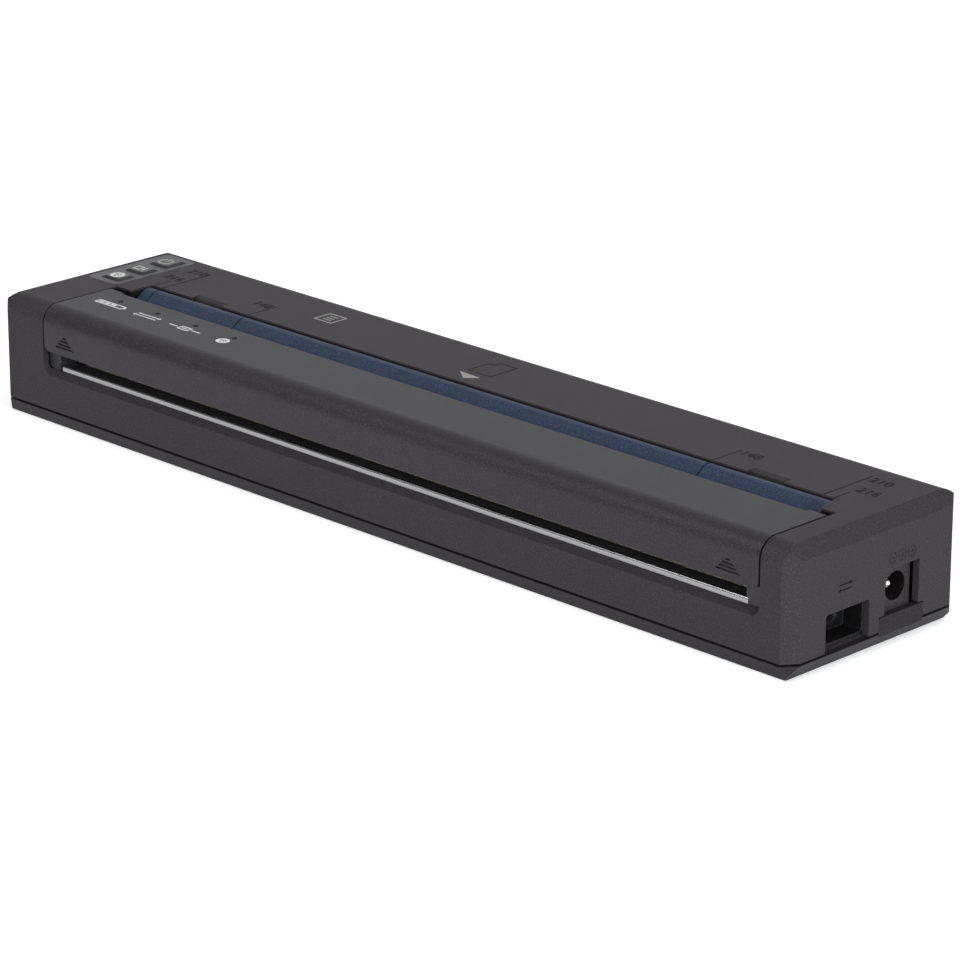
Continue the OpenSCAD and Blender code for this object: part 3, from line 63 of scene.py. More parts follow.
camera_data = bpy.data.cameras.new("camera")
camera_data.sensor_width = 36
camera_data.lens = camera_data.sensor_width * focal_px / photo_px
camera_data.clip_start, camera_data.clip_end = 0.01, 20
camera = bpy.data.objects.new("camera", camera_data)
camera.matrix_world = Matrix((
    (lens_side.x, lens_up.x, lens_back.x, spot.x),
    (lens_side.y, lens_up.y, lens_back.y, spot.y),
    (lens_side.z, lens_up.z, lens_back.z, spot.z),
    (0, 0, 0, 1)))
bpy.context.scene.collection.objects.link(camera)
bpy.context.scene.camera = camera
bpy.context.scene.view_settings.view_transform = "Standard"


def put(tree, kind, out=0, ins=(), **settings):
    """Adds one shader node. Capitalised settings fill sockets, the others are the node's own."""
    made = tree.nodes.new("ShaderNode" + kind)
    places = [(made.inputs[k], value) for k, value in enumerate(ins)]
    for key, value in settings.items():
        if key[0].isupper():
            places.append((made.inputs[key.replace("_", " ")], value))
        else:
            setattr(made, key, value)
    for socket, value in places:
        if isinstance(value, bpy.types.NodeSocket):
            tree.links.new(value, socket)
        else:
            socket.default_value = value
    return made.outputs[out]


def bare_material(name):
    """A node material with its shader and output wired up."""
    made = bpy.data.materials.new(name)
    made.use_nodes = True
    tree = made.node_tree
    shader = next(n for n in tree.nodes if n.type == "BSDF_PRINCIPLED")
    return made, tree, shader.inputs


def table_paper(name, base):
    """Matt paper that the lens, and what mirrors in metal, sees a little whiter than it is lit."""
    made, tree, skin = bare_material(name)
    skin["Base Color"].default_value = (*base, 1)
    skin["Roughness"].default_value = 0.9
    fibres = put(tree, "TexNoise", Scale=900)
    tree.links.new(put(tree, "Bump", Strength=0.02, Height=fibres), skin["Normal"])
    lift = 0.42
    glow = put(tree, "Emission", Strength=lift)
    paper = skin["Base Color"].node.outputs[0]
    both = put(tree, "AddShader", ins=(paper, glow))
    seen = put(tree, "LightPath", out="Is Camera Ray")
    mirrored = put(tree, "LightPath", out="Is Glossy Ray")
    either = put(tree, "Math", operation="MAXIMUM", ins=(seen, mirrored))
    pick = put(tree, "MixShader", ins=(either, paper, both))
    out = next(n for n in tree.nodes if n.type == "OUTPUT_MATERIAL")
    tree.links.new(pick, out.inputs["Surface"])
    return made


def table_sheet():
    """One sheet of paper: flat under the printer, swept up far behind it."""
    half_width, reach_front, reach_back, rise = 4.0, 3.0, 2.2, 3.0
    bend, bend_steps = 0.8, 12
    line = [(-reach_front, 0.0), (reach_back - bend, 0.0)]
    for k in range(1, bend_steps + 1):
        turn = math.pi / 2 * k / bend_steps
        line.append((reach_back - bend + bend * math.sin(turn), bend - bend * math.cos(turn)))
    line.append((reach_back, rise))
    mesh = bmesh.new()
    rows = [[mesh.verts.new((x, y, z)) for x in (-half_width, half_width)] for y, z in line]
    for one, two in zip(rows, rows[1:]):
        mesh.faces.new((one[0], one[1], two[1], two[0])).smooth = True
    data = bpy.data.meshes.new("table_sheet")
    mesh.to_mesh(data)
    mesh.free()
    sheet = bpy.data.objects.new("table_sheet", data)
    sheet.rotation_euler = (0, 0, azimuth)
    bpy.context.scene.collection.objects.link(sheet)
    return sheet


floor = table_sheet()
floor.data.materials.append(table_paper("pale_paper", (0.86, 0.86, 0.86)))

# a white tent, darker on the side away from the lamps, high over the left front
tent = bpy.data.worlds.new("tent")
tent.use_nodes = True
dark_side = Vector((-0.55, -0.6, 0.58)).normalized()
tent_bright, tent_dark = 0.42, 0.1
tree = tent.node_tree
toward = put(tree, "TexCoord", out="Generated")
facing = put(tree, "VectorMath", operation="DOT_PRODUCT", out="Value", ins=(toward, dark_side))
level = put(tree, "MapRange", interpolation_type="SMOOTHSTEP", Value=facing, From_Min=0.25,
            From_Max=0.95, To_Min=tent_bright, To_Max=tent_dark)
cloth = tree.nodes["Background"].inputs
cloth["Color"].default_value = (1, 1, 1, 1)
tree.links.new(level, cloth["Strength"])
bpy.context.scene.world = tent


def soft_box(name, place, target, width, height, watts, tint=(1, 1, 1)):
    """An area lamp that faces a point, with its place and size in metres."""
    lamp = bpy.data.lights.new(name, "AREA")
    lamp.shape = "RECTANGLE"
    lamp.size, lamp.size_y, lamp.energy, lamp.color = width, height, watts, tint
    holder = bpy.data.objects.new(name, lamp)
    holder.location = place
    holder.rotation_euler = (Vector(target) - Vector(place)).to_track_quat("-Z", "Y").to_euler()
    bpy.context.scene.collection.objects.link(holder)


soft_box("overhead_box", (0.4, 0.4, 1.15), (0.05, 0, 0), 1.2, 0.9, 4.6)
soft_box("front_box", (0.4, -1.0, 0.45), (0.05, 0, 0.01), 0.7, 0.5, 6.3)
cool_white = (0.92, 0.98, 1)
soft_box("right_box", (1.3, -0.35, 0.3), (0, 0, 0.01), 0.6, 0.5, 13.5, cool_white)
soft_box("left_box", (-0.24, -0.45, 0.5), (0.1, 0, 0.02), 0.24, 0.24, 1.5)


# ---------------------------------------------------------------------------
# Lower housing: one black ABS moulding with sides that slope in to the table. The
# tool was blasted, so the skin has a fine even grain. Its edges are paler, partly
# from rubbing and partly as painted highlight.
def blasted(name, colour, rough=0.42, grain_mm=0.34, tone=0.3, height=0.8, edge_mm=0.2,
            edge_wear_and_highlight=1.3, shine=0.14, dark=None):
    """Moulded plastic from a sandblasted tool: specks of tone and height, a few specks of painted
    glint, soft paler edges that are partly wear and partly painted highlight. Where dark, a rule
    from place to a socket from 0 to 1, gives 1, the skin is painted a quarter as dark, as shade."""
    made, tree, skin = bare_material(name)
    here = put(tree, "TexCoord", out="Object")
    specks = put(tree, "TexNoise", Vector=here, Scale=1 / (grain_mm * MM), Detail=3,
                 Roughness=0.6)
    clouds = put(tree, "TexNoise", Vector=here, Scale=45, Detail=2)
    rounded = put(tree, "Bevel", samples=4, Radius=edge_mm * MM)
    square = put(tree, "NewGeometry", out="True Normal")
    turn = put(tree, "VectorMath", operation="DOT_PRODUCT", out="Value", ins=(rounded, square))
    # paler near edges: partly wear, partly painted highlight
    edge = put(tree, "MapRange", Value=turn, From_Min=0.97, From_Max=0.8, To_Min=1, To_Max=edge_wear_and_highlight)
    speck = put(tree, "MapRange", Value=specks, From_Min=0.3, From_Max=0.7, To_Min=1 - tone,
                To_Max=1 + tone)
    cloud = put(tree, "MapRange", Value=clouds, To_Min=0.93, To_Max=1.07)
    # painted glint: sparse specks lifted in colour in place of the grain's sparkle
    glint_noise = put(tree, "TexNoise", Vector=here, Scale=1 / (grain_mm * MM), Detail=1)
    painted_glint = put(tree, "MapRange", Value=glint_noise, From_Min=0.58, From_Max=0.68, To_Min=1,
                To_Max=1 + 1.6 * tone)
    shade = put(tree, "Math", operation="MULTIPLY", ins=(speck, cloud))
    shade = put(tree, "Math", operation="MULTIPLY", ins=(shade, painted_glint))
    shade = put(tree, "Math", operation="MULTIPLY", ins=(shade, edge))
    # painted shade: a quarter as dark where the given rule marks a hollow
    if dark:
        painted_shade_factor = put(tree, "MapRange", Value=dark(tree, here), To_Min=1, To_Max=0.25)
        shade = put(tree, "Math", operation="MULTIPLY", ins=(shade, painted_shade_factor))
    tree.links.new(put(tree, "VectorMath", operation="SCALE", ins=(colour,), Scale=shade),
                   skin["Base Color"])
    gloss = put(tree, "MapRange", Value=specks, To_Min=rough - 0.2, To_Max=rough + 0.2)
    tree.links.new(gloss, skin["Roughness"])
    tree.links.new(put(tree, "Bump", Strength=height, Distance=0.08 * MM, Height=specks,
                       Normal=rounded), skin["Normal"])
    skin["Specular IOR Level"].default_value = shine
    return made


def dress(finish, *names):
    """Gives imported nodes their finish."""
    for name in names:
        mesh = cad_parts[name].data
        mesh.materials.clear()
        mesh.materials.append(finish)


dress(blasted("black_abs_lower", (0.021, 0.0185, 0.021), edge_wear_and_highlight=2.4, shine=0.05), "base_cover")


# ---------------------------------------------------------------------------
# Four feet: black rubber buttons pushed into the lower housing. Their rims are
# scuffed dull by the table.
def rubber(name, colour, grain_mm=0.12, rough=0.82):
    """Soft dull rubber, dusty in patches."""
    made, tree, skin = bare_material(name)
    here = put(tree, "TexCoord", out="Object")
    pores = put(tree, "TexNoise", Vector=here, Scale=1 / (grain_mm * MM), Detail=2)
    dust = put(tree, "TexNoise", Vector=here, Scale=160, Detail=4, Roughness=0.7)
    veil = put(tree, "MapRange", Value=dust, From_Min=0.45, From_Max=0.75, To_Min=0, To_Max=0.4)
    pale = tuple(min(1, 3 * c + 0.03) for c in colour)
    tree.links.new(put(tree, "MixRGB", Fac=veil, Color1=(*colour, 1), Color2=(*pale, 1)),
                   skin["Base Color"])
    tree.links.new(put(tree, "MapRange", Value=pores, To_Min=rough - 0.1, To_Max=rough + 0.1),
                   skin["Roughness"])
    tree.links.new(put(tree, "Bump", Strength=0.25, Distance=0.03 * MM, Height=pores),
                   skin["Normal"])
    return made


dress(rubber("foot_rubber", (0.02, 0.02, 0.02)), "rubber_feet")


# ---------------------------------------------------------------------------
# Screws: steel with a thin black finish, rubbed bright on the crown of each head
# where the driver turned. Six close the case, the others hold frame and motor.
def blacked_steel(name, colour, bright, rough=0.34):
    """Plated screw steel with turned rings and a few bare scuffs."""
    made, tree, skin = bare_material(name)
    here = put(tree, "TexCoord", out="Object")
    scuffs = put(tree, "TexNoise", Vector=here, Scale=1400, Detail=4, Roughness=0.7)
    rubbed = put(tree, "MapRange", Value=scuffs, From_Min=0.56, From_Max=0.68)
    tree.links.new(put(tree, "MixRGB", Fac=rubbed, Color1=(*colour, 1), Color2=(*bright, 1)),
                   skin["Base Color"])
    skin["Metallic"].default_value = 1
    tree.links.new(put(tree, "MapRange", Value=scuffs, To_Min=rough - 0.1, To_Max=rough + 0.15),
                   skin["Roughness"])
    tree.links.new(put(tree, "Bump", Strength=0.15, Distance=0.02 * MM, Height=scuffs),
                   skin["Normal"])
    return made


dress(blacked_steel("case_screw_steel", (0.09, 0.09, 0.095), (0.42, 0.42, 0.43)), "case_screws")
dress(blacked_steel("frame_screw_steel", (0.5, 0.5, 0.52), (0.75, 0.75, 0.76), 0.28),
      "frame_screws")


# ---------------------------------------------------------------------------
# Battery: a closed black case with three round cells in a row, each in a shrunk
# sleeve with bare nickel ends, and gold pads that meet the block on the board.
def shrunk_sleeve(name, sleeve, nickel, first_end, cell_pitch, ring=1.1 * MM):
    """Cell sleeve with bare metal at each cell's ends, found by the place along the row."""
    made, tree, skin = bare_material(name)
    here = put(tree, "TexCoord", out="Object")
    along = put(tree, "SeparateXYZ", ins=(here,))
    along = put(tree, "Math", operation="SUBTRACT", ins=(along, first_end))
    along = put(tree, "Math", operation="WRAP", ins=(along, cell_pitch / 2, -cell_pitch / 2))
    off = put(tree, "Math", operation="ABSOLUTE", ins=(along,))
    bare = put(tree, "MapRange", Value=off, From_Min=ring * 1.05, From_Max=ring)
    creases = put(tree, "TexNoise", Vector=here, Scale=300, Detail=3)
    tone = put(tree, "MapRange", Value=creases, To_Min=0.85, To_Max=1.15)
    film = put(tree, "VectorMath", operation="SCALE", ins=(sleeve,), Scale=tone)
    tree.links.new(put(tree, "MixRGB", Fac=bare, Color1=film, Color2=(*nickel, 1)),
                   skin["Base Color"])
    tree.links.new(bare, skin["Metallic"])
    tree.links.new(put(tree, "MapRange", Value=creases, To_Min=0.22, To_Max=0.42),
                   skin["Roughness"])
    tree.links.new(put(tree, "Bump", Strength=0.2, Distance=0.1 * MM, Height=creases),
                   skin["Normal"])
    return made


cell_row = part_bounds("battery_cells")
dress(shrunk_sleeve("cell_sleeve", (0.02, 0.16, 0.22), (0.7, 0.69, 0.66), cell_row[0].x,
                    (cell_row[1].x - cell_row[0].x) / 3), "battery_cells")
dress(blasted("pack_case_abs", (0.022, 0.022, 0.024), rough=0.38, grain_mm=0.16, tone=0.15),
      "battery_pack")


def plated(name, colour, rough=0.22, grain_mm=0.5, tone=0.12):
    """A plated metal skin, faintly uneven in tone and shine."""
    made, tree, skin = bare_material(name)
    here = put(tree, "TexCoord", out="Object")
    haze = put(tree, "TexNoise", Vector=here, Scale=1 / (grain_mm * MM), Detail=4,
               Roughness=0.65)
    tone = put(tree, "MapRange", Value=haze, To_Min=1 - tone, To_Max=1 + tone / 2)
    tree.links.new(put(tree, "VectorMath", operation="SCALE", ins=(colour,), Scale=tone),
                   skin["Base Color"])
    skin["Metallic"].default_value = 1
    tree.links.new(put(tree, "MapRange", Value=haze, To_Min=rough - 0.1, To_Max=rough + 0.12),
                   skin["Roughness"])
    tree.links.new(put(tree, "Bump", Strength=0.12, Distance=0.02 * MM, Height=haze),
                   skin["Normal"])
    return made


dress(plated("contact_gold", (0.83, 0.61, 0.25), 0.2), "pack_contacts")
dress(blasted("contact_block_nylon", (0.03, 0.03, 0.03), rough=0.42, grain_mm=0.12, tone=0.12),
      "contact_block")
dress(blasted("black_abs_door", (0.029, 0.0255, 0.0275)), "battery_door")


# ---------------------------------------------------------------------------
# Chassis: a tray folded from thin zinc-coated sheet that carries head and boards.
# The coating shows large dull crystals and the bends are drawn bright.
def zinc_sheet(name, colour, crystal_mm=3.2, rough=0.36):
    """Galvanised sheet: crystals that differ in tone and shine, under fine rolling lines."""
    made, tree, skin = bare_material(name)
    here = put(tree, "TexCoord", out="Object")
    crystal = put(tree, "TexVoronoi", out="Color", Vector=here, Scale=1 / (crystal_mm * MM))
    pick = put(tree, "SeparateColor", ins=(crystal,))
    tone = put(tree, "MapRange", Value=pick, To_Min=0.8, To_Max=1.12)
    tree.links.new(put(tree, "VectorMath", operation="SCALE", ins=(colour,), Scale=tone),
                   skin["Base Color"])
    skin["Metallic"].default_value = 1
    tree.links.new(put(tree, "MapRange", Value=pick, To_Min=rough - 0.08, To_Max=rough + 0.14),
                   skin["Roughness"])
    drawn = put(tree, "VectorMath", operation="MULTIPLY", ins=(here, (40, 5000, 5000)))
    lines = put(tree, "TexNoise", Vector=drawn, Scale=1)
    tree.links.new(put(tree, "Bump", Strength=0.1, Distance=0.01 * MM, Height=lines),
                   skin["Normal"])
    return made


dress(zinc_sheet("chassis_zinc", (0.62, 0.64, 0.67)), "chassis")
dress(zinc_sheet("gear_plate_zinc", (0.64, 0.65, 0.67), 2.4), "gear_plate")


# ---------------------------------------------------------------------------
# Printing head: a glazed ceramic strip with one fine dark heater line, printed
# leads and a black sealing bead, glued to an anodised aluminium plate.
def glazed_strip(name, body, y_of_line):
    """Ceramic with its heater line, leads across it and the sealing bead behind, by place."""
    made, tree, skin = bare_material(name)
    here = put(tree, "TexCoord", out="Object")
    x_place = put(tree, "SeparateXYZ", out="X", ins=(here,))
    y_place = put(tree, "SeparateXYZ", out="Y", ins=(here,))
    from_line = put(tree, "Math", operation="SUBTRACT", ins=(y_place, y_of_line))
    off = put(tree, "Math", operation="ABSOLUTE", ins=(from_line,))
    heater = put(tree, "MapRange", Value=off, From_Min=0.22 * MM, From_Max=0.12 * MM)
    pitch = put(tree, "Math", operation="PINGPONG", ins=(x_place, 0.25 * MM))
    lead = put(tree, "MapRange", Value=pitch, From_Min=0.1 * MM, From_Max=0.14 * MM,
               To_Max=0.55)
    behind = put(tree, "MapRange", Value=from_line, From_Min=0.2 * MM, From_Max=0.3 * MM)
    lead = put(tree, "Math", operation="MULTIPLY", ins=(lead, behind))
    sealed = put(tree, "MapRange", Value=from_line, From_Min=1.6 * MM, From_Max=1.7 * MM)
    cream = put(tree, "TexNoise", Vector=here, Scale=700, Detail=3)
    tone = put(tree, "MapRange", Value=cream, To_Min=0.94, To_Max=1.05)
    base = put(tree, "VectorMath", operation="SCALE", ins=(body,), Scale=tone)
    base = put(tree, "MixRGB", Fac=lead, Color1=base, Color2=(0.42, 0.33, 0.18, 1))
    base = put(tree, "MixRGB", Fac=heater, Color1=base, Color2=(0.09, 0.06, 0.045, 1))
    base = put(tree, "MixRGB", Fac=sealed, Color1=base, Color2=(0.016, 0.016, 0.018, 1))
    tree.links.new(base, skin["Base Color"])
    tree.links.new(put(tree, "MapRange", Value=cream, To_Min=0.08, To_Max=0.2),
                   skin["Roughness"])
    tree.links.new(put(tree, "Bump", Strength=0.15, Distance=0.02 * MM, Height=cream),
                   skin["Normal"])
    return made


roller_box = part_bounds("platen_rubber")
roller_y = (roller_box[0].y + roller_box[1].y) / 2
dress(glazed_strip("head_ceramic", (0.66, 0.62, 0.53), roller_y), "thermal_head")


def drawn_metal(name, colour, rough=0.22, draw=(60, 4000, 4000)):
    """Bright metal with faint draw lines, stretched along the way it was drawn."""
    made, tree, skin = bare_material(name)
    here = put(tree, "TexCoord", out="Object")
    drawn = put(tree, "VectorMath", operation="MULTIPLY", ins=(here, draw))
    lines = put(tree, "TexNoise", Vector=drawn, Scale=1)
    tone = put(tree, "MapRange", Value=lines, To_Min=0.9, To_Max=1.06)
    tree.links.new(put(tree, "VectorMath", operation="SCALE", ins=(colour,), Scale=tone),
                   skin["Base Color"])
    skin["Metallic"].default_value = 1
    tree.links.new(put(tree, "MapRange", Value=lines, To_Min=rough - 0.08, To_Max=rough + 0.14),
                   skin["Roughness"])
    tree.links.new(put(tree, "Bump", Strength=0.15, Distance=0.01 * MM, Height=lines),
                   skin["Normal"])
    return made


dress(drawn_metal("head_plate_aluminium", (0.72, 0.73, 0.75), 0.34), "heat_sink")
dress(drawn_metal("rod_steel", (0.66, 0.66, 0.68), 0.2), "head_rod", "flag_pin", "hinge_pins")
dress(plated("spring_wire", (0.58, 0.58, 0.6), 0.24, 0.3), "head_springs")


def ribbon_cable(name, film, copper, pitch):
    """Amber film with copper lines showing through it."""
    made, tree, skin = bare_material(name)
    here = put(tree, "TexCoord", out="Object")
    across = put(tree, "SeparateXYZ", ins=(here,))
    gap = put(tree, "Math", operation="PINGPONG", ins=(across, pitch / 2))
    line = put(tree, "MapRange", Value=gap, From_Min=pitch * 0.16, From_Max=pitch * 0.22)
    waves = put(tree, "TexNoise", Vector=here, Scale=400)
    tree.links.new(put(tree, "MixRGB", Fac=line, Color1=(*film, 1), Color2=(*copper, 1)),
                   skin["Base Color"])
    tree.links.new(put(tree, "MapRange", Value=waves, To_Min=0.2, To_Max=0.34),
                   skin["Roughness"])
    tree.links.new(put(tree, "Bump", Strength=0.3, Distance=0.03 * MM, Height=line),
                   skin["Normal"])
    return made


dress(ribbon_cable("flat_lead", (0.42, 0.17, 0.03), (0.56, 0.27, 0.1), 1 * MM), "head_flex")


# ---------------------------------------------------------------------------
# Drive: a stepping motor in a pressed can, a brass pinion, and a double gear in
# white acetal on a steel post, held by a spring ring.
dress(plated("motor_can", (0.5, 0.5, 0.52), 0.3, 0.8, 0.18), "drive_motor")
dress(plated("pinion_brass", (0.72, 0.52, 0.22), 0.26, 0.2), "motor_pinion")
dress(plated("ring_steel", (0.4, 0.4, 0.42), 0.3, 0.2), "gear_clips")


def acetal(name, colour, rough=0.34):
    """Slippery moulded plastic: flow marks, a faint sheen of grease in patches."""
    made, tree, skin = bare_material(name)
    here = put(tree, "TexCoord", out="Object")
    flow = put(tree, "TexNoise", Vector=here, Scale=260, Detail=4, Distortion=1.2)
    tone = put(tree, "MapRange", Value=flow, To_Min=0.9, To_Max=1.06)
    tree.links.new(put(tree, "VectorMath", operation="SCALE", ins=(colour,), Scale=tone),
                   skin["Base Color"])
    tree.links.new(put(tree, "MapRange", Value=flow, To_Min=rough - 0.16, To_Max=rough + 0.12),
                   skin["Roughness"])
    rounded = put(tree, "Bevel", samples=4, Radius=0.1 * MM)
    tree.links.new(put(tree, "Bump", Strength=0.1, Distance=0.03 * MM, Height=flow,
                       Normal=rounded), skin["Normal"])
    skin["Subsurface Weight"].default_value = 0.08
    skin["Subsurface Scale"].default_value = 0.4 * MM
    return made


dress(acetal("white_acetal", (0.74, 0.73, 0.68)), "reduction_gear", "platen_gear")
dress(acetal("black_acetal", (0.025, 0.025, 0.027)), "platen_bushes", "paper_flag")


# ---------------------------------------------------------------------------
# Boards: green epoxy sheets with copper lines under the lacquer and tinned pads,
# their parts soldered on by machine.
def lacquered_board(name, lacquer, over_copper, tin=(0.62, 0.62, 0.6)):
    """Circuit board: bundles of copper lines that turn in steps, and rows of tinned pads."""
    made, tree, skin = bare_material(name)
    here = put(tree, "TexCoord", out="Object")
    steps = put(tree, "TexVoronoi", distance="CHEBYCHEV", Vector=here, Scale=170,
                Randomness=0.8)
    wave = put(tree, "Math", operation="PINGPONG", ins=(steps, 0.05))
    line = put(tree, "MapRange", Value=wave, From_Min=0.026, From_Max=0.03)
    patch = put(tree, "TexNoise", Vector=here, Scale=120)
    routed = put(tree, "MapRange", Value=patch, From_Min=0.46, From_Max=0.48)
    line = put(tree, "Math", operation="MULTIPLY", ins=(line, routed))
    dots = put(tree, "TexVoronoi", Vector=here, Scale=420, Randomness=0.5)
    pad = put(tree, "MapRange", Value=dots, From_Min=0.2, From_Max=0.17)
    base = put(tree, "MixRGB", Fac=line, Color1=(*lacquer, 1), Color2=(*over_copper, 1))
    tree.links.new(put(tree, "MixRGB", Fac=pad, Color1=base, Color2=(*tin, 1)),
                   skin["Base Color"])
    tree.links.new(pad, skin["Metallic"])
    tree.links.new(put(tree, "MapRange", Value=patch, To_Min=0.22, To_Max=0.4),
                   skin["Roughness"])
    tree.links.new(put(tree, "Bump", Strength=0.3, Distance=0.03 * MM, Height=line),
                   skin["Normal"])
    return made


dress(lacquered_board("green_board", (0.008, 0.06, 0.028), (0.025, 0.14, 0.06)),
      "main_board", "port_board", "key_board", "led_board")


def board_part_skins(name, socket_y, can_x):
    """Black chips, cream sockets on one face, and the pressed tin can of the radio, by place."""
    made, tree, skin = bare_material(name)
    here = put(tree, "TexCoord", out="Object")
    x_place = put(tree, "SeparateXYZ", out="X", ins=(here,))
    y_place = put(tree, "SeparateXYZ", out="Y", ins=(here,))
    is_socket = put(tree, "Math", operation="LESS_THAN", ins=(y_place, socket_y))
    is_can = put(tree, "Math", operation="LESS_THAN", ins=(x_place, can_x))
    grit = put(tree, "TexNoise", Vector=here, Scale=3000, Detail=2)
    tone = put(tree, "MapRange", Value=grit, To_Min=0.8, To_Max=1.2)
    chip = put(tree, "VectorMath", operation="SCALE", ins=((0.02, 0.02, 0.022),), Scale=tone)
    base = put(tree, "MixRGB", Fac=is_socket, Color1=chip, Color2=(0.68, 0.65, 0.55, 1))
    tree.links.new(put(tree, "MixRGB", Fac=is_can, Color1=base, Color2=(0.66, 0.66, 0.67, 1)),
                   skin["Base Color"])
    tree.links.new(is_can, skin["Metallic"])
    tree.links.new(put(tree, "MapRange", Value=grit, To_Min=0.3, To_Max=0.5),
                   skin["Roughness"])
    tree.links.new(put(tree, "Bump", Strength=0.15, Distance=0.02 * MM, Height=grit),
                   skin["Normal"])
    return made


board_box, part_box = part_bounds("main_board"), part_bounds("board_parts")
can_width = 16.2 * MM
dress(board_part_skins("soldered_parts", board_box[0].y, part_box[0].x + can_width),
      "board_parts")
dress(blasted("sensor_black", (0.02, 0.02, 0.022), rough=0.35, grain_mm=0.1, tone=0.1),
      "paper_sensor")
dress(plated("switch_tin", (0.6, 0.6, 0.6), 0.3, 0.3), "key_switches")


# ---------------------------------------------------------------------------
# Data socket: a folded, plated steel shell behind the right end. A liner of black
# plastic with rounded corners frames it in its window; its edges carry a strong
# painted highlight.
dress(plated("shell_nickel", (0.62, 0.62, 0.63), 0.2, 0.25), "usb_port")
dress(blasted("window_liner", (0.007, 0.0068, 0.0075), rough=0.36, grain_mm=0.2, tone=0.2,
              edge_mm=0.35, edge_wear_and_highlight=5, shine=0.2), "usb_bezel")


# ---------------------------------------------------------------------------
# Power socket: a black nylon block with a deep bore, flush with the end of the
# case, and a bright turned pin with a rounded tip in its middle.
jack_box, pin_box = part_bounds("dc_jack"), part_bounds("dc_pin")
bore_y = (pin_box[0].y + pin_box[1].y) / 2
bore_above_middle = 0.6 * MM
bore_z = (jack_box[0].z + jack_box[1].z) / 2 + bore_above_middle
bore_radius = 3.2 * MM


def painted_bore_shade(tree, here):
    """1 within the bore round the pin, which is painted dark there as shade, since next to no
    light gets in.
    """
    middle = put(tree, "CombineXYZ", Y=bore_y, Z=bore_z)
    flat = put(tree, "VectorMath", operation="MULTIPLY", ins=(here, (0, 1, 1)))
    off = put(tree, "VectorMath", operation="DISTANCE", out="Value", ins=(flat, middle))
    return put(tree, "MapRange", Value=off, From_Min=bore_radius * 1.03,
               From_Max=bore_radius * 1.01)


# the bore is painted dark as shade
dress(blasted("socket_nylon", (0.028, 0.0245, 0.0265), grain_mm=0.3, tone=0.3, dark=painted_bore_shade),
      "dc_jack")
dress(plated("pin_nickel", (0.9, 0.89, 0.86), 0.14, 0.4), "dc_pin")


# ---------------------------------------------------------------------------
# Exit slot: a dark inner guide with slit spring tongues, closed by a block at each
# end, and a thin bright steel bar with a sharp upper edge that tears the sheet.
# the guide's edges are painted strongly paler, as painted highlight
dress(blasted("slot_abs", (0.022, 0.021, 0.023), rough=0.5, grain_mm=0.3, tone=0.25, edge_wear_and_highlight=3,
              shine=0.4), "exit_guide")
dress(drawn_metal("bar_steel", (0.34, 0.34, 0.345), 0.24), "tear_bar")


# ---------------------------------------------------------------------------
# Paper guide: a blue ABS moulding in one piece, from the flat edge beside the top
# of the case down the slope to the roller, with a coarser grain, and specks of
# painted glint in its colour for its sparkle.
dress(blasted("blue_abs", (0.024, 0.035, 0.067), rough=0.44, grain_mm=0.42, tone=0.28,
              height=0.45, edge_mm=0.25), "paper_guide")


# ---------------------------------------------------------------------------
# Upper housing: black ABS like the lower one, warm in tone. Size marks, page mark,
# nail hollows and the rings beside the power socket were cut into its tool.
case_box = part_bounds("main_case")
inner_half_depth, inner_half_length = 24 * MM, 125 * MM


def painted_inner_wall_shade(tree, here):
    """1 on the inner walls, below the top and within the sides, which are painted dark as shade.
    """
    height = put(tree, "SeparateXYZ", out="Z", ins=(here,))
    deep = put(tree, "MapRange", Value=height, From_Min=case_box[1].z - 0.3 * MM,
               From_Max=case_box[1].z - 0.6 * MM)
    for axis, half in (("Y", inner_half_depth), ("X", inner_half_length)):
        off = put(tree, "SeparateXYZ", out=axis, ins=(here,))
        off = put(tree, "Math", operation="ABSOLUTE", ins=(off,))
        within = put(tree, "MapRange", Value=off, From_Min=half, From_Max=half - 0.5 * MM)
        deep = put(tree, "Math", operation="MULTIPLY", ins=(deep, within))
    return deep


# The inner walls are painted dark as shade; the edges are paler, partly wear and partly painted
# highlight.
dress(blasted("black_abs_upper", (0.0345, 0.0305, 0.034), tone=0.18, edge_wear_and_highlight=1.7, shine=0.05,
              dark=painted_inner_wall_shade), "main_case")


# ---------------------------------------------------------------------------
# Size numbers: plain figures beside the ends of the engraved size marks, standing
# on the upper housing as thin raised strokes, darker than its skin: painted shade in
# place of the shadow in engraved figures.
def figure_mesh(figures, height):
    """A closed mesh of upright figures, centred on zero, one unit of thickness deep."""
    lettering = bpy.data.curves.new("figures", "FONT")
    lettering.body = figures
    lettering.size = height * 1.38
    lettering.extrude = 0.5
    lettering.resolution_u = 4
    lettering.align_x, lettering.align_y = "CENTER", "CENTER"
    holder = bpy.data.objects.new("figures", lettering)
    bpy.context.scene.collection.objects.link(holder)
    bpy.context.view_layer.update()
    shape = bpy.data.meshes.new_from_object(
        holder.evaluated_get(bpy.context.evaluated_depsgraph_get()))
    bpy.data.objects.remove(holder)
    bpy.data.curves.remove(lettering)
    return shape


def piece_from(mesh, name, finish, body):
    """Turns a finished mesh into a piece that rides on one of the printer's bodies."""
    bmesh.ops.recalc_face_normals(mesh, faces=mesh.faces)
    data = bpy.data.meshes.new(name)
    mesh.to_mesh(data)
    mesh.free()
    data.materials.append(finish)
    made = bpy.data.objects.new(name, data)
    bpy.context.scene.collection.objects.link(made)
    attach(made, body)
    return made


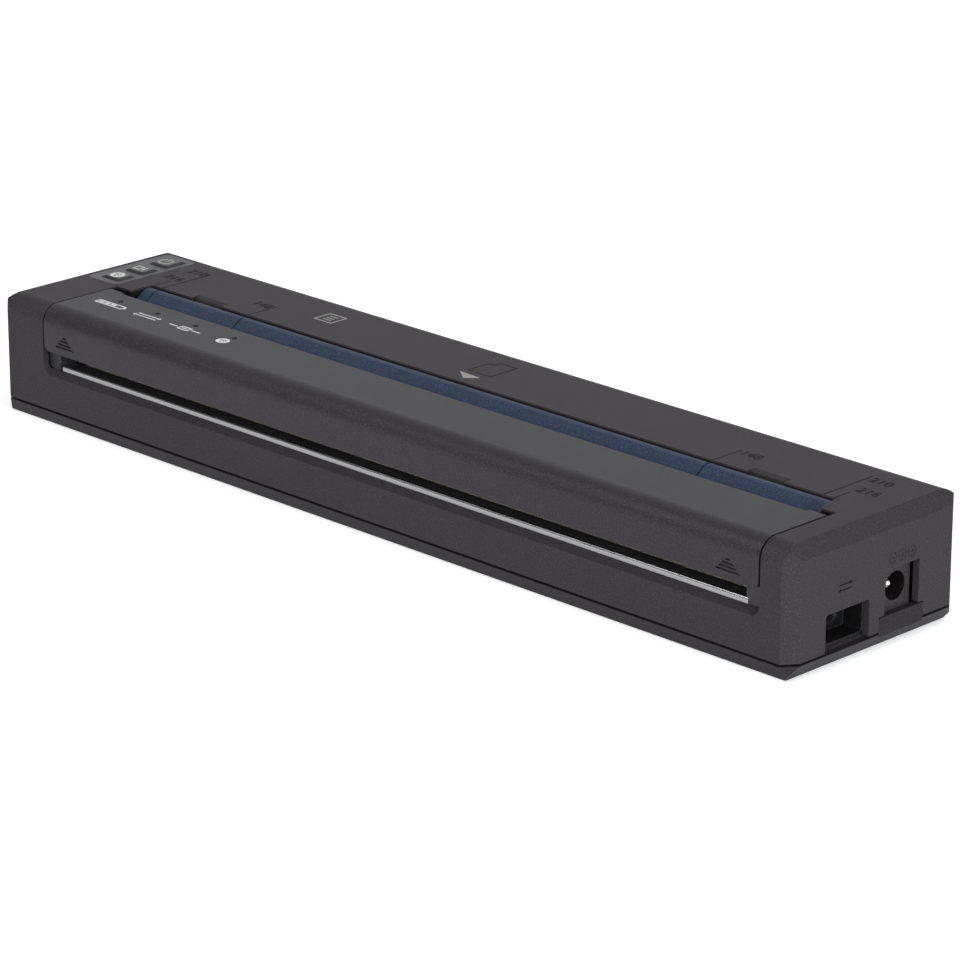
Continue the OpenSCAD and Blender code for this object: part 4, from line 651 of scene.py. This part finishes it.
top_z = case_box[1].z / MM
number_height, number_thick, number_sunk = 2.9, 0.06, 0.04
number_places = {"216": ((-104.6, 10.3), (115.7, 10.5)), "210": ((-103.6, 17.2), (113.5, 17.2)),
                 "148": ((-72.9, 10.6), (82.5, 10.8))}
numbers = bmesh.new()
for figures, places in number_places.items():
    shape = figure_mesh(figures, number_height)
    for x, y in places:
        fresh = bmesh.new()
        fresh.from_mesh(shape)
        bmesh.ops.remove_doubles(fresh, verts=fresh.verts, dist=1e-5)
        for v in fresh.verts:
            deep = number_thick if v.co.z > 0 else -number_sunk
            v.co = Vector((x + v.co.x, y + v.co.y, top_z + deep)) * MM
        laid = bpy.data.meshes.new("laid")
        fresh.to_mesh(laid)
        fresh.free()
        numbers.from_mesh(laid)
        bpy.data.meshes.remove(laid)
    bpy.data.meshes.remove(shape)
# painted shade: the figures are coloured near black for the shadow of engraving
number_painted_shade = blasted("number_painted_shade", (0.009, 0.008, 0.009), rough=0.5, shine=0.06)
piece_from(numbers, "size_numbers", number_painted_shade, "body")


# ---------------------------------------------------------------------------
# White prints: thin pad-printed ink on the upper housing. A small pointer at the
# page mark, and a ruled sheet further left.
def ribbon(points, width, closed=False):
    """Four-sided patches along a line of points, as wide as a pen stroke."""
    count = len(points)
    rims = []
    for k, (x, y) in enumerate(points):
        before = points[k - 1] if closed or k else None
        after = points[(k + 1) % count] if closed or k + 1 < count else None
        before = before or (2 * x - after[0], 2 * y - after[1])
        after = after or (2 * x - before[0], 2 * y - before[1])
        one = Vector((x - before[0], y - before[1])).normalized()
        two = Vector((after[0] - x, after[1] - y)).normalized()
        mid = (one + two).normalized()
        reach = width / 2 / max(0.5, mid.dot(one))
        rims.append(((x - mid.y * reach, y + mid.x * reach),
                     (x + mid.y * reach, y - mid.x * reach)))
    last = count if closed else count - 1
    return [(rims[k][0], rims[k][1], rims[(k + 1) % count][1], rims[(k + 1) % count][0])
            for k in range(last)]


def arc(x, y, radius, start, end, squash=1.0, steps=18):
    """Points along an arc, from one angle to another in degrees."""
    turns = [math.radians(start + (end - start) * k / steps) for k in range(steps + 1)]
    return [(x + radius * math.cos(t), y + radius * squash * math.sin(t)) for t in turns]


def bar(x0, y0, x1, y1):
    """A plain upright patch."""
    return [(x0, y0), (x1, y0), (x1, y1), (x0, y1)]


def ink(name, strokes, place, finish, body, thick=0.02, sunk=0.015, along=(1, 0, 0),
        across=(0, 1, 0)):
    """Printed strokes, given in millimetres on a face, with the real thickness of the ink."""
    along, across = Vector(along), Vector(across)
    out = along.cross(across)
    mesh = bmesh.new()
    for patches in strokes:
        corners, faces = {}, []
        for patch in patches:
            rim = []
            for u, v in patch:
                key = (round(u, 4), round(v, 4))
                if key not in corners:
                    corners[key] = mesh.verts.new(
                        (Vector(place) + along * u + across * v - out * sunk) * MM)
                rim.append(corners[key])
            faces.append(mesh.faces.new(rim))
        lifted = bmesh.ops.extrude_face_region(mesh, geom=faces, use_keep_orig=True)
        risen = [e for e in lifted["geom"] if isinstance(e, bmesh.types.BMVert)]
        bmesh.ops.translate(mesh, verts=risen, vec=out * ((thick + sunk) * MM))
    return piece_from(mesh, name, finish, body)


def print_ink(name, colour, thin=0.7, shine=0.5):
    """Pad-printed ink: slightly uneven cover, so the plastic dulls it in specks."""
    made, tree, skin = bare_material(name)
    here = put(tree, "TexCoord", out="Object")
    cover = put(tree, "TexNoise", Vector=here, Scale=5200, Detail=2)
    tone = put(tree, "MapRange", Value=cover, From_Min=0.3, From_Max=0.6, To_Min=thin, To_Max=1)
    tree.links.new(put(tree, "VectorMath", operation="SCALE", ins=(colour,), Scale=tone),
                   skin["Base Color"])
    tree.links.new(put(tree, "MapRange", Value=cover, To_Min=0.4, To_Max=0.6),
                   skin["Roughness"])
    tree.links.new(put(tree, "Bump", Strength=0.2, Distance=0.01 * MM, Height=cover),
                   skin["Normal"])
    skin["Specular IOR Level"].default_value = shine
    return made


white_ink = print_ink("white_ink", (0.72, 0.73, 0.72))
ink("page_pointer", [[[(-3.4, 8.0), (0.8, 4.8), (3.5, 7.5)]]], (0, 0, top_z),
    print_ink("pale_ink", (0.27, 0.28, 0.25)), "body")
sheet_w, sheet_d, pen, line_inset = 5.6, 5.2, 0.36, 1.5
sheet_outline = ribbon([(-sheet_w / 2, -sheet_d / 2), (sheet_w / 2, -sheet_d / 2),
                        (sheet_w / 2, sheet_d / 2), (-sheet_w / 2, sheet_d / 2)], pen, True)
sheet_lines = [[bar(-sheet_w / 2 + line_inset, y - pen / 2, sheet_w / 2 - line_inset,
                    y + pen / 2)] for y in (-1.2, 0, 1.2)]
grey_white_ink = print_ink("grey_white_ink", (0.36, 0.37, 0.35))
ink("sheet_print", [sheet_outline] + sheet_lines, (-53.6, 14.7, top_z), grey_white_ink, "body")


# ---------------------------------------------------------------------------
# Key panel: a grey moulding let into the top at the left end. Its three caps stand
# in their own wells with a hair gap all round, and carry white prints. Their bevels
# and the walls of the wells are painted dark as shade.
def painted_well_shade(tree, here):
    """1 on every face that isn't the flat top: the bevels and walls in the wells, painted dark as
    shade.
    """
    square = put(tree, "NewGeometry", out="True Normal")
    upward = put(tree, "SeparateXYZ", out="Z", ins=(square,))
    return put(tree, "MapRange", Value=upward, From_Min=0.98, From_Max=0.9)


dress(blasted("panel_grey_abs", (0.082, 0.082, 0.087), grain_mm=0.3, tone=0.2, edge_mm=0.1,
              edge_wear_and_highlight=1, shine=0.25, dark=painted_well_shade), "control_panel")
dress(blasted("key_grey_abs", (0.088, 0.088, 0.092), grain_mm=0.3, tone=0.16, edge_mm=0.1,
              edge_wear_and_highlight=1, shine=0.25, dark=painted_well_shade), "wireless_button", "feed_button",
      "power_button")

key_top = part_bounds("feed_button")[1].z / MM
key_dark = print_ink("key_dark_ink", (0.03, 0.03, 0.032), shine=0.1)
green_white = print_ink("green_white_ink", (0.34, 0.39, 0.32))


def wave_marks(scale):
    """A dot with two arcs above it, for the radio link."""
    return [[arc(0, -1.3 * scale, 0.42 * scale, 0, 342, steps=19)],
            ribbon(arc(0, -1.3 * scale, 1.35 * scale, 40, 140), 0.42 * scale),
            ribbon(arc(0, -1.3 * scale, 2.35 * scale, 45, 135), 0.42 * scale)]


ink("wireless_disc", [[arc(0, 0, 1.9, 0, 350, 0.98, 35)]], (-115.6, 1.7, key_top), white_ink,
    "wireless_key")
ink("wireless_waves", wave_marks(0.66), (-115.6, 1.6, key_top), key_dark, "wireless_key",
    thick=0.035)
feed_outline = ribbon([(-1.5, -1.0), (-1.5, 1.0), (0.4, 1.0), (0.4, -1.0)], 0.34, True)
feed_arrow = [[[(0.95, -0.1), (1.95, -0.1), (1.45, -1.1)]], [bar(1.28, -0.1, 1.62, 1.1)]]
ink("feed_print", [feed_outline] + feed_arrow, (-116.0, 9.4, key_top),
    print_ink("feed_ink", (0.58, 0.6, 0.54)), "feed_key")
ink("power_print", [ribbon(arc(0, 0, 1.75, 120, 420), 0.5), [bar(-0.25, 0.6, 0.25, 2.3)]],
    (-115.8, 17.5, key_top), green_white, "power_key")


# ---------------------------------------------------------------------------
# Roller: a ground rubber sleeve on a turned steel shaft, in two black bushes. It
# hangs in the release cover, and an acetal gear drives its left end.
def ground_rubber(name, colour, rough=0.6):
    """Rubber ground to size: fine rings round the roller, bloom in faint patches."""
    made, tree, skin = bare_material(name)
    here = put(tree, "TexCoord", out="Object")
    ringed = put(tree, "VectorMath", operation="MULTIPLY", ins=(here, (3800, 90, 90)))
    rings = put(tree, "TexNoise", Vector=ringed, Scale=1, Detail=2)
    bloom = put(tree, "TexNoise", Vector=here, Scale=90, Detail=3)
    ring_tone = put(tree, "MapRange", Value=rings, To_Min=0.75, To_Max=1.3)
    bloom_tone = put(tree, "MapRange", Value=bloom, To_Min=0.85, To_Max=1.2)
    shade = put(tree, "Math", operation="MULTIPLY", ins=(ring_tone, bloom_tone))
    tree.links.new(put(tree, "VectorMath", operation="SCALE", ins=(colour,), Scale=shade),
                   skin["Base Color"])
    tree.links.new(put(tree, "MapRange", Value=rings, To_Min=rough - 0.12, To_Max=rough + 0.12),
                   skin["Roughness"])
    tree.links.new(put(tree, "Bump", Strength=0.3, Distance=0.02 * MM, Height=rings),
                   skin["Normal"])
    return made


dress(ground_rubber("roller_rubber", (0.028, 0.028, 0.03)), "platen_rubber")
dress(drawn_metal("shaft_steel", (0.68, 0.68, 0.7), 0.16, (4000, 120, 120)), "platen_shaft")


# ---------------------------------------------------------------------------
# Release cover: a slightly greyer ABS moulding that wraps the front top edge, on a
# ribbed black inner frame that holds the roller, the lamp board and its guides.
dress(blasted("grey_abs_cover", (0.0215, 0.0192, 0.0235), shine=0.2), "release_cover")
dress(blasted("cover_frame_abs", (0.022, 0.021, 0.022), rough=0.42, grain_mm=0.2, tone=0.18),
      "cover_frame")


def clear_moulding(name):
    """Clear acrylic, faintly wavy from its tool."""
    made, tree, skin = bare_material(name)
    here = put(tree, "TexCoord", out="Object")
    wave = put(tree, "TexNoise", Vector=here, Scale=900, Detail=1)
    haze = put(tree, "MapRange", Value=wave, To_Min=0.88, To_Max=1)
    tree.links.new(put(tree, "VectorMath", operation="SCALE", ins=((0.9, 0.92, 0.92),),
                       Scale=haze), skin["Base Color"])
    tree.links.new(put(tree, "MapRange", Value=wave, To_Min=0.08, To_Max=0.25),
                   skin["Roughness"])
    skin["Transmission Weight"].default_value = 1
    skin["IOR"].default_value = 1.49
    tree.links.new(put(tree, "Bump", Strength=0.15, Distance=0.02 * MM, Height=wave),
                   skin["Normal"])
    return made


dress(clear_moulding("clear_acrylic"), "light_guides")
dress(acetal("lamp_cream", (0.62, 0.6, 0.42), 0.28), "status_leds")


# ---------------------------------------------------------------------------
# Lamp prints: white ink on the cover in front of the four lamps, for battery,
# data, paper and the radio link.
cover_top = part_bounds("release_cover")[1].z / MM
battery_cell = ribbon([(-4.9, -0.85), (4.3, -0.85), (4.3, 0.85), (-4.9, 0.85)], 0.42, True)
battery_bars = [[bar(x, -0.42, x + 1.7, 0.42)] for x in (-4.3, -2.2, -0.1)]
ink("battery_print", [battery_cell, [bar(4.5, -0.4, 5.2, 0.4)]] + battery_bars,
    (-98.6, -14.85, cover_top), white_ink, "cover")
arrow_pair = []
for way, y in ((1, 0.62), (-1, -0.62)):
    arrow_pair.append([bar(-3.6, y - 0.2, 3.6, y + 0.2)])
    arrow_pair.append([[(way * 3.5, y - 0.62), (way * 4.3, y), (way * 3.5, y + 0.62)]])
ink("data_print", arrow_pair, (-85.3, -15.1, cover_top), white_ink, "cover")
paper_strokes = [ribbon([(-1.6, -0.85), (1.6, -0.85), (1.6, 0.85), (-1.6, 0.85)], 0.4, True),
                 [bar(-5.4, -0.2, -2.4, 0.2)], [bar(2.4, -0.2, 5.4, 0.2)],
                 [bar(-0.9, -0.18, 0.9, 0.18)]]
ink("paper_print", paper_strokes, (-71.9, -15.1, cover_top), white_ink, "cover")
ink("link_disc", [[arc(0, 0, 1.8, 0, 350, 0.92, 35)]], (-58.5, -15.1, cover_top), white_ink,
    "cover")
ink("link_waves", wave_marks(0.6), (-58.5, -15.15, cover_top), key_dark, "cover", thick=0.035)


# ---------------------------------------------------------------------------
# Data mark: two small opposed arrows above the data socket, in dark ink on the
# right end of the upper housing.
right_x = case_box[1].x / MM
end_arrows = [[[(u * way, v) for u, v in stroke] for stroke in strokes]
              for way, strokes in (
                  (1, [bar(-2.0, 0.45, 1.4, 0.75), [(1.4, 0.15), (2.4, 0.6), (1.4, 1.05)]]),
                  (-1, [bar(-2.0, -0.75, 1.4, -0.45),
                        [(1.4, -1.05), (2.4, -0.6), (1.4, -0.15)]]))]
ink("data_mark", end_arrows, (right_x, -10.4, 17.7),
    print_ink("dark_ink", (0.004, 0.004, 0.005), shine=0.05), "body", along=(0, 1, 0),
    across=(0, 0, 1))
